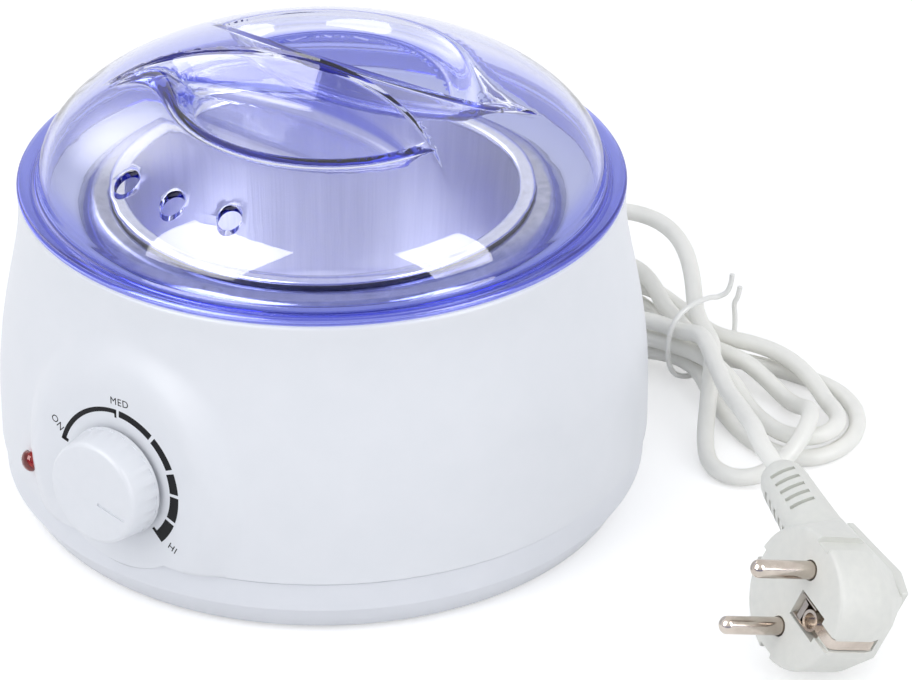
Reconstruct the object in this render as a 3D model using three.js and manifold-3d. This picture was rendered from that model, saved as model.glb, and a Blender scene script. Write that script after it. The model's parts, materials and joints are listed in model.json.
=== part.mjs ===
// A salon wax warmer: a round heater with a lift-out pot, a clear lid, a dial and a mains cord.
// Millimetres, +Z up, standing on z = 0, dial towards -Y, cord leaving towards +Y.
import * as THREE from 'three';
import { mergeVertices } from 'three/addons/utils/BufferGeometryUtils.js';
import Module from 'manifold-3d';

const wasm = await Module();
wasm.setup();

const DEGREE = Math.PI / 180;
const RIGHT_ANGLE = 90 * DEGREE;
const FULL_TURN = 360 * DEGREE;

// Clearances, and how far a cut runs past its wall
const touch = 0.3;
const slide = 0.6;
const overrun = 3;

// How finely round things are faceted
const facets = {
  housing: 44, lid: 32, well: 36, band: 20, dial: 32, knob: 48, post: 10, pin: 12, screw: 8,
  cord: 8, wire: 6, hank: 6,
};

// Wax pot: the piece that the others are sized round
const pot = { topRadius: 54.1, taper: 2.6, wall: 1, rimReach: 3.6, rimHeight: 1.8, depth: 61.2, corner: 7 };

// Heated well that the pot stands in, with its flange over the deck of the housing
const well = {
  play: 0.9, wall: 1.2, bottom: 24, underPot: 1.8, corner: 6.2, shoulder: 1.7,
  flangeStep: 1, flange: 4.8, skirt: 4.5, stud: 2, studLength: 9,
};
const wellInner = pot.topRadius + well.play;
const wellOuter = wellInner + well.wall;
const flangeStart = wellOuter + well.flangeStep;
const flangeEnd = flangeStart + well.flange;
const potBottom = well.bottom + well.wall + well.underPot;
const potRimUnder = potBottom + pot.depth;
const potRimTop = potRimUnder + pot.rimHeight;

// Upper housing: its wall narrows along a smooth bend above bendStart
const housing = {
  room: 33.8, wall: 2.2, seam: 18, abovePot: 0.8, narrowing: 7.6, bendStart: 20, bendEndDrop: 4.8,
  rimRound: 1.2, rimWidth: 3.8, rimChamfer: 0.6, deckDrop: 6.8, deckWall: 2, deckPlay: 1,
  collarWall: 2, collarDrop: 4,
};
const bendPowerShare = 1.5;
const housingRadius = wellOuter + housing.room;
const housingTop = potRimTop + housing.abovePot;
const rimInner = housingRadius - housing.narrowing - housing.rimWidth;
const deckTop = housingTop - housing.deckDrop;
const deckInner = flangeEnd + housing.deckPlay;
const bendHeight = housingTop - housing.bendEndDrop - housing.bendStart;

// Thermostat, along the dial axis from the face of the boss, and its bracket
const thermostat = {
  shaft: 3, shaftBack: 11.7, shaftSkin: 1.4, bush: 4.2, bushFront: 0.4, body: 12.5, bodyLength: 14.3,
  plate: 1.2, plateWidth: 41, plateHeight: 14,
  screwShank: 1.2, screwHead: 2.6, screwHeadHeight: 1.4, screwTip: 1.8,
};

// Flat round boss behind the dial, blended into the wall, with a tongue over the seam
const boss = {
  setback: 1.6, height: 39.13, tiltAngle: 2.58, radius: 25.9, margin: 0.1, blend: 14, overlap: 2,
  screwOffset: 16.5, screwPad: 3, padDepth: 3.9, bushPlay: 0.4,
};
const bossDistance = housingRadius - boss.setback;
const bossFlat = boss.radius + boss.margin;
const plateFront = boss.padDepth + touch;
const thermostatFront = plateFront + thermostat.plate + touch;
const thermostatBack = thermostatFront + thermostat.bodyLength;

// Knob, along the dial axis from the face of the boss
const knob = {
  back: 1.3, depth: 9.5, radius: 15.2, draft: 1.1, edge: 1.2, wall: 1.4, skin: 1.1, hub: 6, hubBack: 1.6,
  flutes: 24, fluteDepth: 0.4, grooveWidth: 1.2, grooveDepth: 0.5, grooveLength: 9, grooveMiddle: 6.4,
  pointerAngle: -14,
};
const knobFront = knob.back + knob.depth;

// Screw posts under the deck and their screws
const baseScrew = { shank: 1.5, head: 3, headHeight: 2.2, reach: 11 };
const post = { inset: 16, radius: 4, pilotDepth: 14 };
const postRing = housingRadius - post.inset;
const postPilot = baseScrew.shank + touch;

// Lower housing
const base = {
  inset: 0.8, wall: 2.4, cornerTop: 8.2, cornerInset: 0.2, footInset: 6.2, under: 1, floor: 2.5,
  lipPlay: 0.5, lipWall: 2, lipRise: 3.5, stepTop: 14, stepHeight: 2, innerCorner: 4.5,
  bossWall: 1, bossRise: 2.5,
};
const baseRadius = housingRadius - base.inset;
const baseInner = baseRadius - base.wall;
const baseFloor = base.under + base.floor;
const lipRadius = housingRadius - housing.wall - base.lipPlay;
const foot = { inset: 20, radius: 6, recess: 1, height: 1.7 };
const footRing = housingRadius - foot.inset;

// Bar that pulls the well down onto the deck, in its room under the well
const bar = {
  screwOffset: 34, length: 80, width: 12, thickness: 1.2, pillar: 4, washer: 3.4, washerThickness: 0.6,
  screwHead: 3, screwHeadHeight: 1.1, screwShank: 1.5, screwReach: 12, nut: 4, nutHeight: 3,
  tagLength: 9, tagWidth: 4, underWell: 0.5,
};
const barHole = bar.screwShank + touch;
const studHole = well.stud + touch;
const barStack = bar.thickness + bar.washerThickness + bar.screwHeadHeight + touch * 3;
const pillarTop = well.bottom - bar.underWell - barStack;

// Heating band, its clamp and the cut-out under the well
const heater = {
  thickness: 1.2, aboveBottom: 10, height: 24, openAngle: 12, clampThickness: 0.6, clampHeight: 8, ear: 7,
  screwShank: 1.2, screwHead: 2.4, screwHeadLength: 1.6, screwSpare: 3,
};
const heaterLow = well.bottom + heater.aboveBottom;
const heaterMiddle = heaterLow + heater.height / 2;
const fuse = { radius: 2.2, length: 14, offset: 22, clipWidth: 6, clipWall: 0.8, clipEar: 4 };

// Pilot lamp, its distance from the dial measured round the wall
const lamp = {
  fromDial: 35.75, height: 29.4, lens: 2.8, lensSeat: 0.5, dome: 1.4, body: 2.4, depth: 9, boreFront: 0.6,
  neon: 1.4, neonLength: 8, holder: 4.4, holderLength: 5,
};
const lampHoleRadius = lamp.body + touch;
const neonBore = lamp.neon + touch;

// Lid: an elliptical dome on a flat rim, with a grip between two finger pockets
const lid = {
  turnAngle: 1.34, overhang: 0.1, rimRise: 0.3, rimHeight: 1.9, rimRound: 0.7, rimWidth: 3.5, ringWidth: 2.15,
  ringDrop: 0.9, domeStart: 2.86, domeHeight: 31.58, wall: 2, skirtWall: 2, skirtDrop: 5.1,
  crest: 88.4, grip: 1.4, gripRise: 1.2, gripReach: 60, gripDepth: 5,
  lipRadius: 41.5, lipX: 3.5, lipY: 2.5, pocketDepth: 13.54,
  vent: 3.2, ventInset: 12.45, ventAngle: 15,
};
const lidRimRadius = housingRadius - housing.narrowing + lid.overhang;
const lidRimUnder = housingTop + lid.rimRise;
const ringRadius = lidRimRadius - lid.rimWidth;
const domeRadius = ringRadius - lid.ringWidth;
const domeFoot = lidRimUnder + lid.domeStart;
const skirtRadius = rimInner - slide;
const pocketFloor = domeFoot + lid.domeHeight - lid.pocketDepth;
const ventRing = domeRadius - lid.ventInset;

// Mains cord: free length outside, sheathed length inside
const cord = { radius: 2.5, exit: 106, height: 30, least: 0.45, spare: 0.35, rest: 0.1 };
const bushing = {
  flange: 6, flangeLength: 2, neck: 4.2, boot: 5, tip: 3.7, inset: 6, innerFlange: 6, innerLength: 2.6,
};
const bushingHole = bushing.neck + touch;
const cordBore = cord.radius + touch;
const clampBar = { width: 25, depth: 8, height: 3, shank: 1.2, head: 2.5, headHeight: 1.6, reach: 12 };
const saddle = { width: 26, depth: 9, inset: 12.5, screwOffset: 8.5 };
const saddleFront = housingRadius - saddle.inset;
const saddleBack = saddleFront - saddle.depth;
const saddleMiddle = (saddleFront + saddleBack) / 2;
const clampPilot = clampBar.shank + touch;
const terminal = {
  placeAngle: 24.4, inset: 17.5, length: 30, depth: 13, height: 12, spacing: 9, bore: 1.6, boreDepth: 5,
};
const terminalRing = housingRadius - terminal.inset;

// Wires inside: their runs round the floor from one angle to another, clockwise from the back
const wire = {
  radius: 0.9, inset: 26.5, spacing: 1.55, rise: 3.6, straight: 1.8, clear: 5.4, sheathCut: 1.5,
  heaterDrop: 8, heaterBend: 3,
};
const earthRun = { fromAngle: -25, toAngle: -80, points: 6 };
const controlRun = { startAngle: 44, fromAngle: 58, toAngle: 158, points: 9 };
const wireRing = housingRadius - wire.inset;

// Hank: three loops to the right of the tie and three to the left, one cord
const hank = {
  tieX: 57, tieY: 104, bundleAngle: -15, pitch: 5.95, tieRise: 3.2, risenWithin: 20, hump: 26, separate: 18,
  grain: 2, easing: 8, settling: 40, start: 62, tail: 112, straight: 3,
};
// Each loop runs out to its far point and back. A row gives, from the tie: the angle and pull out,
// the far point's reach and angle, its heading with the pulls in and out, and the angle and pull back
const loops = [
  [-26, 16, 65.4, -43, 35, 26, 24, 23, 37],
  [142, 30, 54, 166, 256, 20, 19, 190, 26],
  [-2, 31, 57.3, -22.5, 43, 17, 20, 48, 26],
  [138, 26, 45, 164, 254, 18, 18, 194, 24],
  [-45, 18, 60.4, -16, 80, 28, 20, 36, 44],
  [146, 34, 63, 169, 259, 22, 20, 189, 32],
];
// Where each pass of the tie lies: half pitches across, and its layer
const passes = [[0, 2], [0, 1], [-2, 1], [2, 1], [-1, 0], [1, 0], [-2, 2]];

// Hand-laid points of the cord before and after the hank
const leadRoute = [
  [0, 106, 30], [0, 110, 30], [2.7, 118.5, 30], [9.5, 126, 30], [19, 129.8, 29.8], [29, 129, 28.5],
  [38, 124.4, 25.5], [45.6, 117.4, 21.8], [51.8, 109.6, 18.4], [56.6, 102.4, 15.6],
];
const tailRoute = [
  [63, 95.4, 15], [71.4, 87.2, 14], [82.2, 78.5, 15], [97.2, 64, 19], [109.5, 50.2, 24], [117, 41.4, 27.9],
];
const tieWire = {
  radius: 0.9, across: 12.5, above: 11.6, middle: 12.7, squareShare: 2.6, startAngle: 62, turnShare: 0.94,
  drift: 2.4, points: 28, steps: 44,
};
const tieTails = [
  [[63, 110, 24], [65.5, 108, 28], [67, 105, 32]],
  [[66, 114, 22], [69, 111, 24], [70.5, 107, 26]],
];

// Earthed plug, from the middle of its face: pins along +X, cord leaving along -Y
const plug = {
  x: 161.2, y: -12.4, z: 24.3, yawAngle: -114.37, pitchAngle: 19.32, rollAngle: -12.26,
  face: 18.8, faceDepth: 16, round: 1, back: 31, backHalf: 9.5, backEdge: 19, backFar: 7, shoulderHalf: 13.5,
  guide: 5, guideDepth: 2, pinOffset: 9.5, pin: 2.4, pinLength: 19, pinRoot: 6,
  stripWidth: 4, stripThickness: 1, stripLength: 16, stripSink: 0.4,
  earthHole: 2.2, earthPlace: 9.5, earthDepth: 12,
  bootX: 22.5, bootY: 15, tipX: 26.5, tipY: 52, shoulder: 7.6, tip: 4.4,
};
const pinHole = plug.pin + touch;

// Shapes as closed bodies with shared vertices and faces pointing out
function closed(geometry) {
  geometry.deleteAttribute('normal');
  geometry.deleteAttribute('uv');
  geometry.clearGroups();
  const merged = mergeVertices(geometry);
  const index = [...merged.index.array];
  const kept = [];
  const [a, b, c] = [new THREE.Vector3(), new THREE.Vector3(), new THREE.Vector3()];
  let volume = 0;
  for (let i = 0; i < index.length; i += 3) {
    const corners = index.slice(i, i + 3);
    if (new Set(corners).size < 3) continue;
    [a, b, c].forEach((corner, k) => corner.fromBufferAttribute(merged.attributes.position, corners[k]));
    volume += a.dot(b.cross(c));
    kept.push(corners);
  }
  merged.setIndex((volume < 0 ? kept.map(([i, j, k]) => [i, k, j]) : kept).flat());
  return merged;
}

function solid(geometry) {
  const shape = closed(geometry);
  return new wasm.Manifold(new wasm.Mesh({
    numProp: 3,
    vertProperties: new Float32Array(shape.attributes.position.array),
    triVerts: new Uint32Array(shape.index.array),
  }));
}

function geometryOf(shape) {
  const mesh = shape.getMesh();
  const geometry = new THREE.BufferGeometry();
  geometry.setAttribute('position', new THREE.BufferAttribute(new Float32Array(mesh.vertProperties), 3));
  geometry.setIndex([...mesh.triVerts]);
  return geometry;
}

const joined = (shapes) => shapes.reduce((whole, shape) => whole.add(shape));
const cut = (shape, tools) => tools.reduce((left, tool) => left.subtract(tool), shape);

// Turned shape about the Z axis, from points of radius and height
function turned(points, segments) {
  const profile = points.map(([radius, height]) => new THREE.Vector2(Math.max(radius, 0), height));
  return new THREE.LatheGeometry(profile, segments).rotateX(RIGHT_ANGLE);
}

// Points of a quarter ellipse from (r0, z0) to (r1, z1), leaving along r when flatFirst
function corner(r0, z0, r1, z1, steps, flatFirst) {
  return Array.from({ length: steps + 1 }, (_, i) => {
    const angle = RIGHT_ANGLE * i / steps;
    const [early, late] = [Math.sin(angle), 1 - Math.cos(angle)];
    const [along, across] = flatFirst ? [early, late] : [late, early];
    return [r0 + (r1 - r0) * along, z0 + (z1 - z0) * across];
  });
}

function rod(radius, low, high, segments = facets.pin) {
  return new THREE.CylinderGeometry(radius, radius, high - low, segments).rotateX(RIGHT_ANGLE)
    .translate(0, 0, (low + high) / 2);
}

function block(width, depth, low, high) {
  return new THREE.BoxGeometry(width, depth, high - low).translate(0, 0, (low + high) / 2);
}

function prism(shape, low, high, curveSegments = facets.pin) {
  return new THREE.ExtrudeGeometry(shape, { depth: high - low, bevelEnabled: false, curveSegments })
    .translate(0, 0, low);
}

function ring(outer, inner, low, high, segments = facets.pin) {
  return turned([[inner, low], [outer, low], [outer, high], [inner, high], [inner, low]], segments);
}

// Screw with its head below and its tip up, the underside of the head at z = 0
function screw(shank, reach, head, headHeight) {
  const points = [
    [0, -headHeight], [head, -headHeight], [head, 0], [shank, 0], [shank, reach - shank], [0, reach],
  ];
  return turned(points, facets.screw);
}

// Tube along a curve
function tube(curve, radius, sides, steps) {
  const outline = new THREE.EllipseCurve(0, 0, radius, radius, 0, FULL_TURN).getPoints(sides).slice(1);
  const section = new THREE.Shape(outline);
  return new THREE.ExtrudeGeometry(section, { steps, extrudePath: curve, bevelEnabled: false });
}

function route(points) {
  return new THREE.CatmullRomCurve3(points.map((point) => new THREE.Vector3(...point)), false, 'centripetal');
}

// Wall of the housing: its radius at a height, and with the dial boss blended in
const smooth = (share) => {
  const t = Math.min(1, Math.max(0, share));
  return t * t * (3 - 2 * t);
};

function shellRadius(height) {
  const share = Math.max(0, (height - housing.bendStart) / bendHeight);
  return housingRadius - housing.narrowing * smooth(Math.min(1, share) ** bendPowerShare);
}

const bossTilt = boss.tiltAngle * DEGREE;

function wallRadius(angle, height) {
  const plain = shellRadius(height);
  const side = Math.atan2(Math.sin(angle), Math.cos(angle));
  if (Math.abs(side) > RIGHT_ANGLE / 2) return plain;
  const plane = (bossDistance - (height - boss.height) * Math.tan(bossTilt)) / Math.cos(side);
  const away = Math.hypot(plane * Math.sin(side), (height - boss.height) / Math.cos(bossTilt));
  return plain + (plane - plain) * (1 - smooth((away - bossFlat) / boss.blend));
}

// Frames that stand on the wall: the dial and the lamp look outwards along their own Z
const group = new THREE.Group();
const dial = new THREE.Group();
dial.position.set(0, -bossDistance, boss.height);
dial.rotation.x = RIGHT_ANGLE - bossTilt;
const lampPlace = new THREE.Group();
const lampAngle = -lamp.fromDial / housingRadius;
const lampRadius = wallRadius(lampAngle, lamp.height);
lampPlace.position.set(lampRadius * Math.sin(lampAngle), -lampRadius * Math.cos(lampAngle), lamp.height);
lampPlace.rotation.set(RIGHT_ANGLE, 0, lampAngle, 'ZXY');
const plugPlace = new THREE.Group();
plugPlace.position.set(plug.x, plug.y, plug.z);
plugPlace.rotation.set(plug.rollAngle * DEGREE, -plug.pitchAngle * DEGREE, plug.yawAngle * DEGREE, 'ZYX');
const lidPlace = new THREE.Group();
lidPlace.rotation.z = lid.turnAngle * DEGREE;
group.add(dial, lampPlace, plugPlace, lidPlace);
group.updateMatrixWorld(true);

const dialPoint = (...place) => new THREE.Vector3(...place).applyMatrix4(dial.matrixWorld).toArray();
const on = (place, geometry) => geometry.applyMatrix4(place.matrixWorld);
const around = (count, radius, firstAngle) => Array.from({ length: count }, (_, i) => {
  const angle = firstAngle * DEGREE + FULL_TURN * i / count;
  return [radius * Math.cos(angle), radius * Math.sin(angle)];
});

// Finishes
const finish = (color, roughness, metalness = 0, opacity = 1) => (
  { color, roughness, metalness, opacity, transparent: opacity < 1 }
);
const whiteGloss = finish(0xe9ebf3, 0.25);
const clearViolet = finish(0x6f6fe0, 0.08, 0, 0.45);
const aluminium = finish(0xc9cbd2, 0.3, 0.95);
const steel = finish(0xb9bbbf, 0.35, 0.9);
const whitePlastic = finish(0xdfe3e2, 0.45);
const nickel = finish(0xc2b8ad, 0.2, 1);
const blackRubber = finish(0x222326, 0.8);
const redLens = finish(0x9c1016, 0.15);
const darkPhenolic = finish(0x2b2422, 0.5);
const mica = finish(0xb7a98c, 0.6);
const brass = finish(0xb08d4a, 0.35, 0.9);
const glass = finish(0xe8d8c8, 0.1, 0, 0.6);
const nylon = finish(0xe6e4da, 0.5);

function add(name, shape, look, place = group) {
  const geometry = shape.getMesh ? geometryOf(shape) : closed(shape);
  const mesh = new THREE.Mesh(geometry, new THREE.MeshStandardMaterial(look));
  mesh.name = name;
  place.add(mesh);
  return mesh;
}

// Upper housing
function makeShell() {
  const { seam, wall, rimRound, rimChamfer } = housing;
  const deckUnder = deckTop - housing.deckWall;
  const collarOuter = deckInner + housing.collarWall;
  const collarFoot = deckTop - housing.collarDrop;
  const shoulder = housingTop - rimRound;
  const rows = 8;
  const outside = Array.from({ length: rows }, (_, i) => seam + (shoulder - seam) * i / rows);
  const inside = Array.from({ length: rows - 2 }, (_, i) => deckUnder + (seam - deckUnder) * i / (rows - 3));
  const rim = shellRadius(shoulder);
  const points = [
    ...outside.map((height) => [shellRadius(height), height]),
    ...corner(rim, shoulder, rim - rimRound, housingTop, 2, false),
    [rimInner + rimChamfer, housingTop], [rimInner, housingTop - rimChamfer], [rimInner, deckTop],
    [deckInner, deckTop], [deckInner, collarFoot], [collarOuter, collarFoot], [collarOuter, deckUnder],
    ...inside.map((height) => [shellRadius(height) - wall, height]),
    [shellRadius(seam), seam],
  ];
  const skin = turned(points, facets.housing);
  const place = skin.attributes.position;
  for (let i = 0; i < place.count; i += 1) {
    const [x, y, z] = [place.getX(i), place.getY(i), place.getZ(i)];
    const radius = Math.hypot(x, y);
    const plain = shellRadius(z);
    if (z > shoulder || radius < plain - wall - touch) continue;
    const angle = Math.atan2(x, -y);
    const blended = wallRadius(angle, z);
    const target = radius > plain - wall / 2 ? blended : Math.min(plain, blended) - wall;
    place.setXY(i, target * Math.sin(angle), -target * Math.cos(angle));
  }
  const below = solid(block(boss.radius * 2, housingRadius * 3, 0, seam + boss.overlap));
  const tongue = solid(on(dial, rod(boss.radius, -wall, 0, facets.dial))).intersect(below);
  const postFoot = baseFloor + base.bossRise + touch;
  const posts = around(4, postRing, 45).map(([x, y]) => (
    solid(rod(post.radius, postFoot, deckUnder + housing.deckWall / 2, facets.post).translate(x, y, 0))
  ));
  const pilots = around(4, postRing, 45).map(([x, y]) => (
    solid(rod(postPilot, postFoot - overrun, postFoot + post.pilotDepth, facets.post).translate(x, y, 0))
  ));
  const sides = [-boss.screwOffset, boss.screwOffset];
  const padPilot = thermostat.screwShank + touch;
  const pads = sides.map((x) => (
    solid(on(dial, rod(boss.screwPad, -boss.padDepth, -wall / 2).translate(x, 0, 0)))
  ));
  const padPilots = sides.map((x) => (
    solid(on(dial, rod(padPilot, -boss.padDepth - overrun, -wall / 2).translate(x, 0, 0)))
  ));
  const shaftHole = solid(on(dial, rod(thermostat.bush + boss.bushPlay, -overrun * 2, overrun)));
  const lampHole = solid(on(lampPlace, rod(lampHoleRadius, -overrun * 2, overrun)));
  const cordHole = solid(rod(bushingHole, 0, overrun * 3).rotateX(-RIGHT_ANGLE)
    .translate(0, housingRadius - overrun * 2, cord.height));
  const holes = [...pilots, ...padPilots, shaftHole, lampHole, cordHole];
  return cut(joined([solid(skin), tongue, ...posts, ...pads]), holes);
}

const saddleTop = cord.height - cord.radius - touch;

// Lower housing with the pillars of the bar and the saddle of the cord clamp
function makeBase() {
  const { under, lipWall, cornerTop, stepTop, stepHeight } = base;
  const floorTop = baseFloor;
  const edge = housing.seam - touch;
  const lipTop = edge + base.lipRise;
  const points = [
    [0, under],
    ...corner(baseRadius - base.footInset, under, baseRadius - base.cornerInset, cornerTop, 3, true),
    [baseRadius, edge], [lipRadius, edge], [lipRadius, lipTop], [lipRadius - lipWall, lipTop],
    [lipRadius - lipWall, stepTop], [baseInner, stepTop - stepHeight],
    ...corner(baseInner - base.innerCorner, floorTop, baseInner, cornerTop, 2, true).reverse(),
    [0, floorTop],
  ];
  const bossTop = floorTop + base.bossRise;
  const sunk = under + base.floor / 2;
  const bosses = around(4, postRing, 45).map(([x, y]) => (
    solid(rod(post.radius + base.bossWall, sunk, bossTop, facets.post).translate(x, y, 0))
  ));
  const pillars = [-bar.screwOffset, bar.screwOffset].map((x) => (
    solid(rod(bar.pillar, sunk, pillarTop).translate(x, 0, 0))
  ));
  const saddleBlock = solid(block(saddle.width, saddle.depth, sunk, saddleTop)
    .translate(0, saddleMiddle, 0));
  const headTop = under + baseScrew.headHeight + touch * 2;
  const screwHoles = around(4, postRing, 45).flatMap(([x, y]) => [
    solid(rod(postPilot, 0, bossTop + overrun, facets.post).translate(x, y, 0)),
    solid(rod(baseScrew.head + touch, under - overrun, headTop, facets.post).translate(x, y, 0)),
  ]);
  const footHoles = around(4, footRing, 0).map(([x, y]) => (
    solid(rod(foot.radius + touch, under - overrun, under + foot.recess).translate(x, y, 0))
  ));
  const pillarHoles = [-bar.screwOffset, bar.screwOffset].map((x) => (
    solid(rod(barHole, floorTop + base.floor, pillarTop + overrun).translate(x, 0, 0))
  ));
  const saddleHoles = [-saddle.screwOffset, saddle.screwOffset].map((x) => (
    solid(rod(clampPilot, floorTop + base.floor, saddleTop + overrun).translate(x, saddleMiddle, 0))
  ));
  const recessDepth = housing.wall + touch;
  const recess = solid(on(dial, rod(boss.radius + touch, -recessDepth, overrun * 2, facets.dial)));
  return cut(joined([solid(turned(points, facets.housing)), ...bosses, ...pillars, saddleBlock]),
    [...screwHoles, ...footHoles, ...pillarHoles, ...saddleHoles, recess]);
}

// Heated well: cup, flange and skirt over the deck, and the stud underneath
function makeWell() {
  const { wall, bottom, shoulder } = well;
  const [inner, outer, skirtEnd] = [wellInner, wellOuter, flangeEnd + well.skirt];
  const flangeTop = potRimUnder - touch;
  const skirtFoot = deckTop + touch;
  const flangeUnder = flangeTop - wall;
  const points = [
    [0, bottom], ...corner(outer - well.corner, bottom, outer, bottom + well.corner, 3, true),
    [outer, flangeUnder - wall], [flangeStart + wall / 2, flangeUnder], [flangeEnd - wall / 2, flangeUnder],
    [skirtEnd - wall / 2, skirtFoot], [skirtEnd, skirtFoot], [skirtEnd, skirtFoot + wall],
    [flangeEnd, flangeTop], [flangeStart, flangeTop], [inner, flangeTop - shoulder],
    ...corner(inner - well.corner, bottom + wall, inner, bottom + wall + well.corner, 3, true).reverse(),
    [0, bottom + wall],
  ];
  return joined([
    solid(turned(points, facets.well)),
    solid(rod(well.stud, bottom - well.studLength, bottom + wall / 2)),
  ]);
}

// Lift-out pot with its rolled rim
function makePot() {
  const { rimHeight, wall, topRadius, corner: bend } = pot;
  const [bottom, rimUnder, rimTop] = [potBottom, potRimUnder, potRimTop];
  const middle = (rimTop + rimUnder) / 2;
  const rimOuter = topRadius + pot.rimReach;
  const bottomRadius = topRadius - pot.taper;
  const inside = topRadius - wall;
  const [floorRadius, floor] = [bottomRadius - wall, bottom + wall];
  return turned([
    [0, bottom], ...corner(bottomRadius - bend, bottom, bottomRadius, bottom + bend, 3, true),
    [topRadius, rimUnder - wall], [topRadius + wall, rimUnder],
    ...corner(rimOuter - rimHeight / 2, rimUnder, rimOuter, middle, 2, true),
    ...corner(rimOuter, middle, rimOuter - rimHeight / 2, rimTop, 2, false).slice(1),
    ...corner(inside + rimHeight / 2, rimTop, inside, middle, 2, true),
    ...corner(floorRadius - bend, floor, floorRadius, floor + bend, 3, true).reverse(),
    [0, floor],
  ], facets.well);
}

// Height of the dome of the lid at a radius
function domeTop(radius) {
  return domeFoot + lid.domeHeight * Math.sqrt(Math.max(0, 1 - (radius / domeRadius) ** 2));
}

function circle(x, y, radius) {
  const outline = new THREE.EllipseCurve(x, y, radius, radius, 0, FULL_TURN).getPoints(facets.lid);
  return new THREE.Shape(outline.slice(1));
}

// Lid: dome, rim, skirt, grip and its two pockets, with an even wall
function makeLid() {
  const { domeHeight: rise, wall, skirtWall, crest, grip } = lid;
  const [rimUnder, rimRadius, dome, skirt] = [lidRimUnder, lidRimRadius, domeRadius, skirtRadius];
  const rimTop = rimUnder + lid.rimHeight;
  const skirtFoot = rimUnder - lid.skirtDrop;
  const rows = 7;
  const arc = (radius, height, foot) => corner(0, foot + height, radius, foot, rows, true);
  const outside = turned([
    ...arc(dome, rise, domeFoot), [ringRadius, domeFoot - lid.ringDrop], [rimRadius - lid.rimRound, rimTop],
    [rimRadius, rimTop - lid.rimRound], [rimRadius, rimUnder], [skirt, rimUnder], [skirt, skirtFoot],
    [0, skirtFoot],
  ], facets.lid);
  const inside = (lift) => solid(turned([
    ...arc(dome - wall, rise - wall + lift, domeFoot), [skirt - skirtWall, rimUnder - wall],
    [skirt - skirtWall, skirtFoot - overrun], [0, skirtFoot - overrun],
  ], facets.lid));
  const ceiling = domeFoot + rise + overrun;
  const discs = (side, extra, floor) => {
    const beyond = prism(circle(0, side * (grip + crest), crest + extra), floor, ceiling);
    const lip = prism(circle(-side * lid.lipX, side * lid.lipY, lid.lipRadius + extra), floor, ceiling);
    return solid(beyond).intersect(solid(lip));
  };
  const pockets = [-1, 1].map((side) => discs(side, 0, pocketFloor));
  const pocketWalls = [-1, 1].map((side) => discs(side, wall, pocketFloor - wall));
  const gripTop = Array.from({ length: rows + 1 }, (_, i) => {
    const radius = lid.gripReach * i / rows;
    return [radius, domeTop(radius) + lid.gripRise * (1 - (i / rows) ** 2)];
  });
  const gripFoot = domeTop(lid.gripReach) - lid.gripDepth;
  const raised = turned([...gripTop, [lid.gripReach, gripFoot], [0, gripFoot]], facets.lid);
  const beside = [-1, 1].map((side) => (
    solid(prism(circle(0, side * (grip + crest), crest), domeFoot - overrun, ceiling + lid.gripRise))
  ));
  const gripShape = cut(solid(raised), [...beside, inside(0)]);
  const vents = [-1, 0, 1].map((side) => {
    const angle = side * lid.ventAngle * DEGREE;
    const [x, y] = [ventRing * Math.sin(angle), -ventRing * Math.cos(angle)];
    return solid(rod(lid.vent, domeFoot + overrun, ceiling).translate(x, y, 0));
  });
  const hollow = cut(inside(0), pocketWalls);
  return cut(joined([solid(outside), gripShape]), [...pockets, ...vents, hollow]);
}

// Knob, hollow behind, with fluted side and a pointer groove
function makeKnob() {
  const { back, radius: backRadius, edge, wall, skin, hub, hubBack, flutes, fluteDepth } = knob;
  const front = knobFront;
  const frontRadius = backRadius - knob.draft;
  const bore = thermostat.shaft + touch;
  const shape = turned([
    [0, front - skin], [bore, front - skin], [bore, hubBack], [hub, hubBack], [hub, front - wall],
    [frontRadius - wall, front - wall], [backRadius - wall, back], [backRadius, back],
    [frontRadius, front - edge],
    ...corner(frontRadius, front - edge, frontRadius - edge, front, 2, false).slice(1), [0, front],
  ], facets.knob);
  const place = shape.attributes.position;
  for (let i = 0; i < place.count; i += 1) {
    const [x, y, z] = [place.getX(i), place.getY(i), place.getZ(i)];
    const radius = Math.hypot(x, y);
    if (radius < frontRadius - wall / 2 || z > front - edge / 2) continue;
    const angle = Math.atan2(y, x);
    const share = (radius - fluteDepth * (1 - Math.cos(flutes * angle)) / 2) / radius;
    place.setXY(i, x * share, y * share);
  }
  const groove = block(knob.grooveLength, knob.grooveWidth, front - knob.grooveDepth, front + overrun)
    .translate(knob.grooveMiddle, 0, 0).rotateZ(knob.pointerAngle * DEGREE);
  return solid(shape).subtract(solid(groove));
}

// Thermostat behind the boss: its body with the threaded bush, and the bracket that carries it
function makeThermostat() {
  const { body, plate, bush, bushFront, shaft, shaftBack } = thermostat;
  const front = -thermostatFront;
  return cut(joined([
    solid(rod(body, -thermostatBack, front, facets.pin * 2)),
    solid(rod(bush, front - plate, -bushFront, facets.pin)),
  ]), [solid(rod(shaft + touch, -shaftBack - touch, overrun))]);
}

function makeBracket() {
  const { plate, plateWidth, plateHeight, bush, screwShank } = thermostat;
  const back = -(plateFront + plate);
  const holes = [-boss.screwOffset, boss.screwOffset].map((x) => (
    solid(rod(screwShank + touch, back - overrun, 0).translate(x, 0, 0))
  ));
  return cut(solid(block(plateWidth, plateHeight, back, -plateFront)),
    [solid(rod(bush + touch, back - overrun, 0)), ...holes]);
}

// Pilot lamp lens: a low dome outside, a hollow stem inside
function makeLens() {
  const { lens, lensSeat, dome, body, depth, boreFront } = lamp;
  return turned([
    [0, lensSeat + dome], ...corner(lens, lensSeat, 0, lensSeat + dome, 4, false).reverse().slice(1),
    [body, lensSeat], [body, -depth], [neonBore, -depth], [neonBore, -boreFront], [0, -boreFront],
  ], facets.pin);
}

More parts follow.
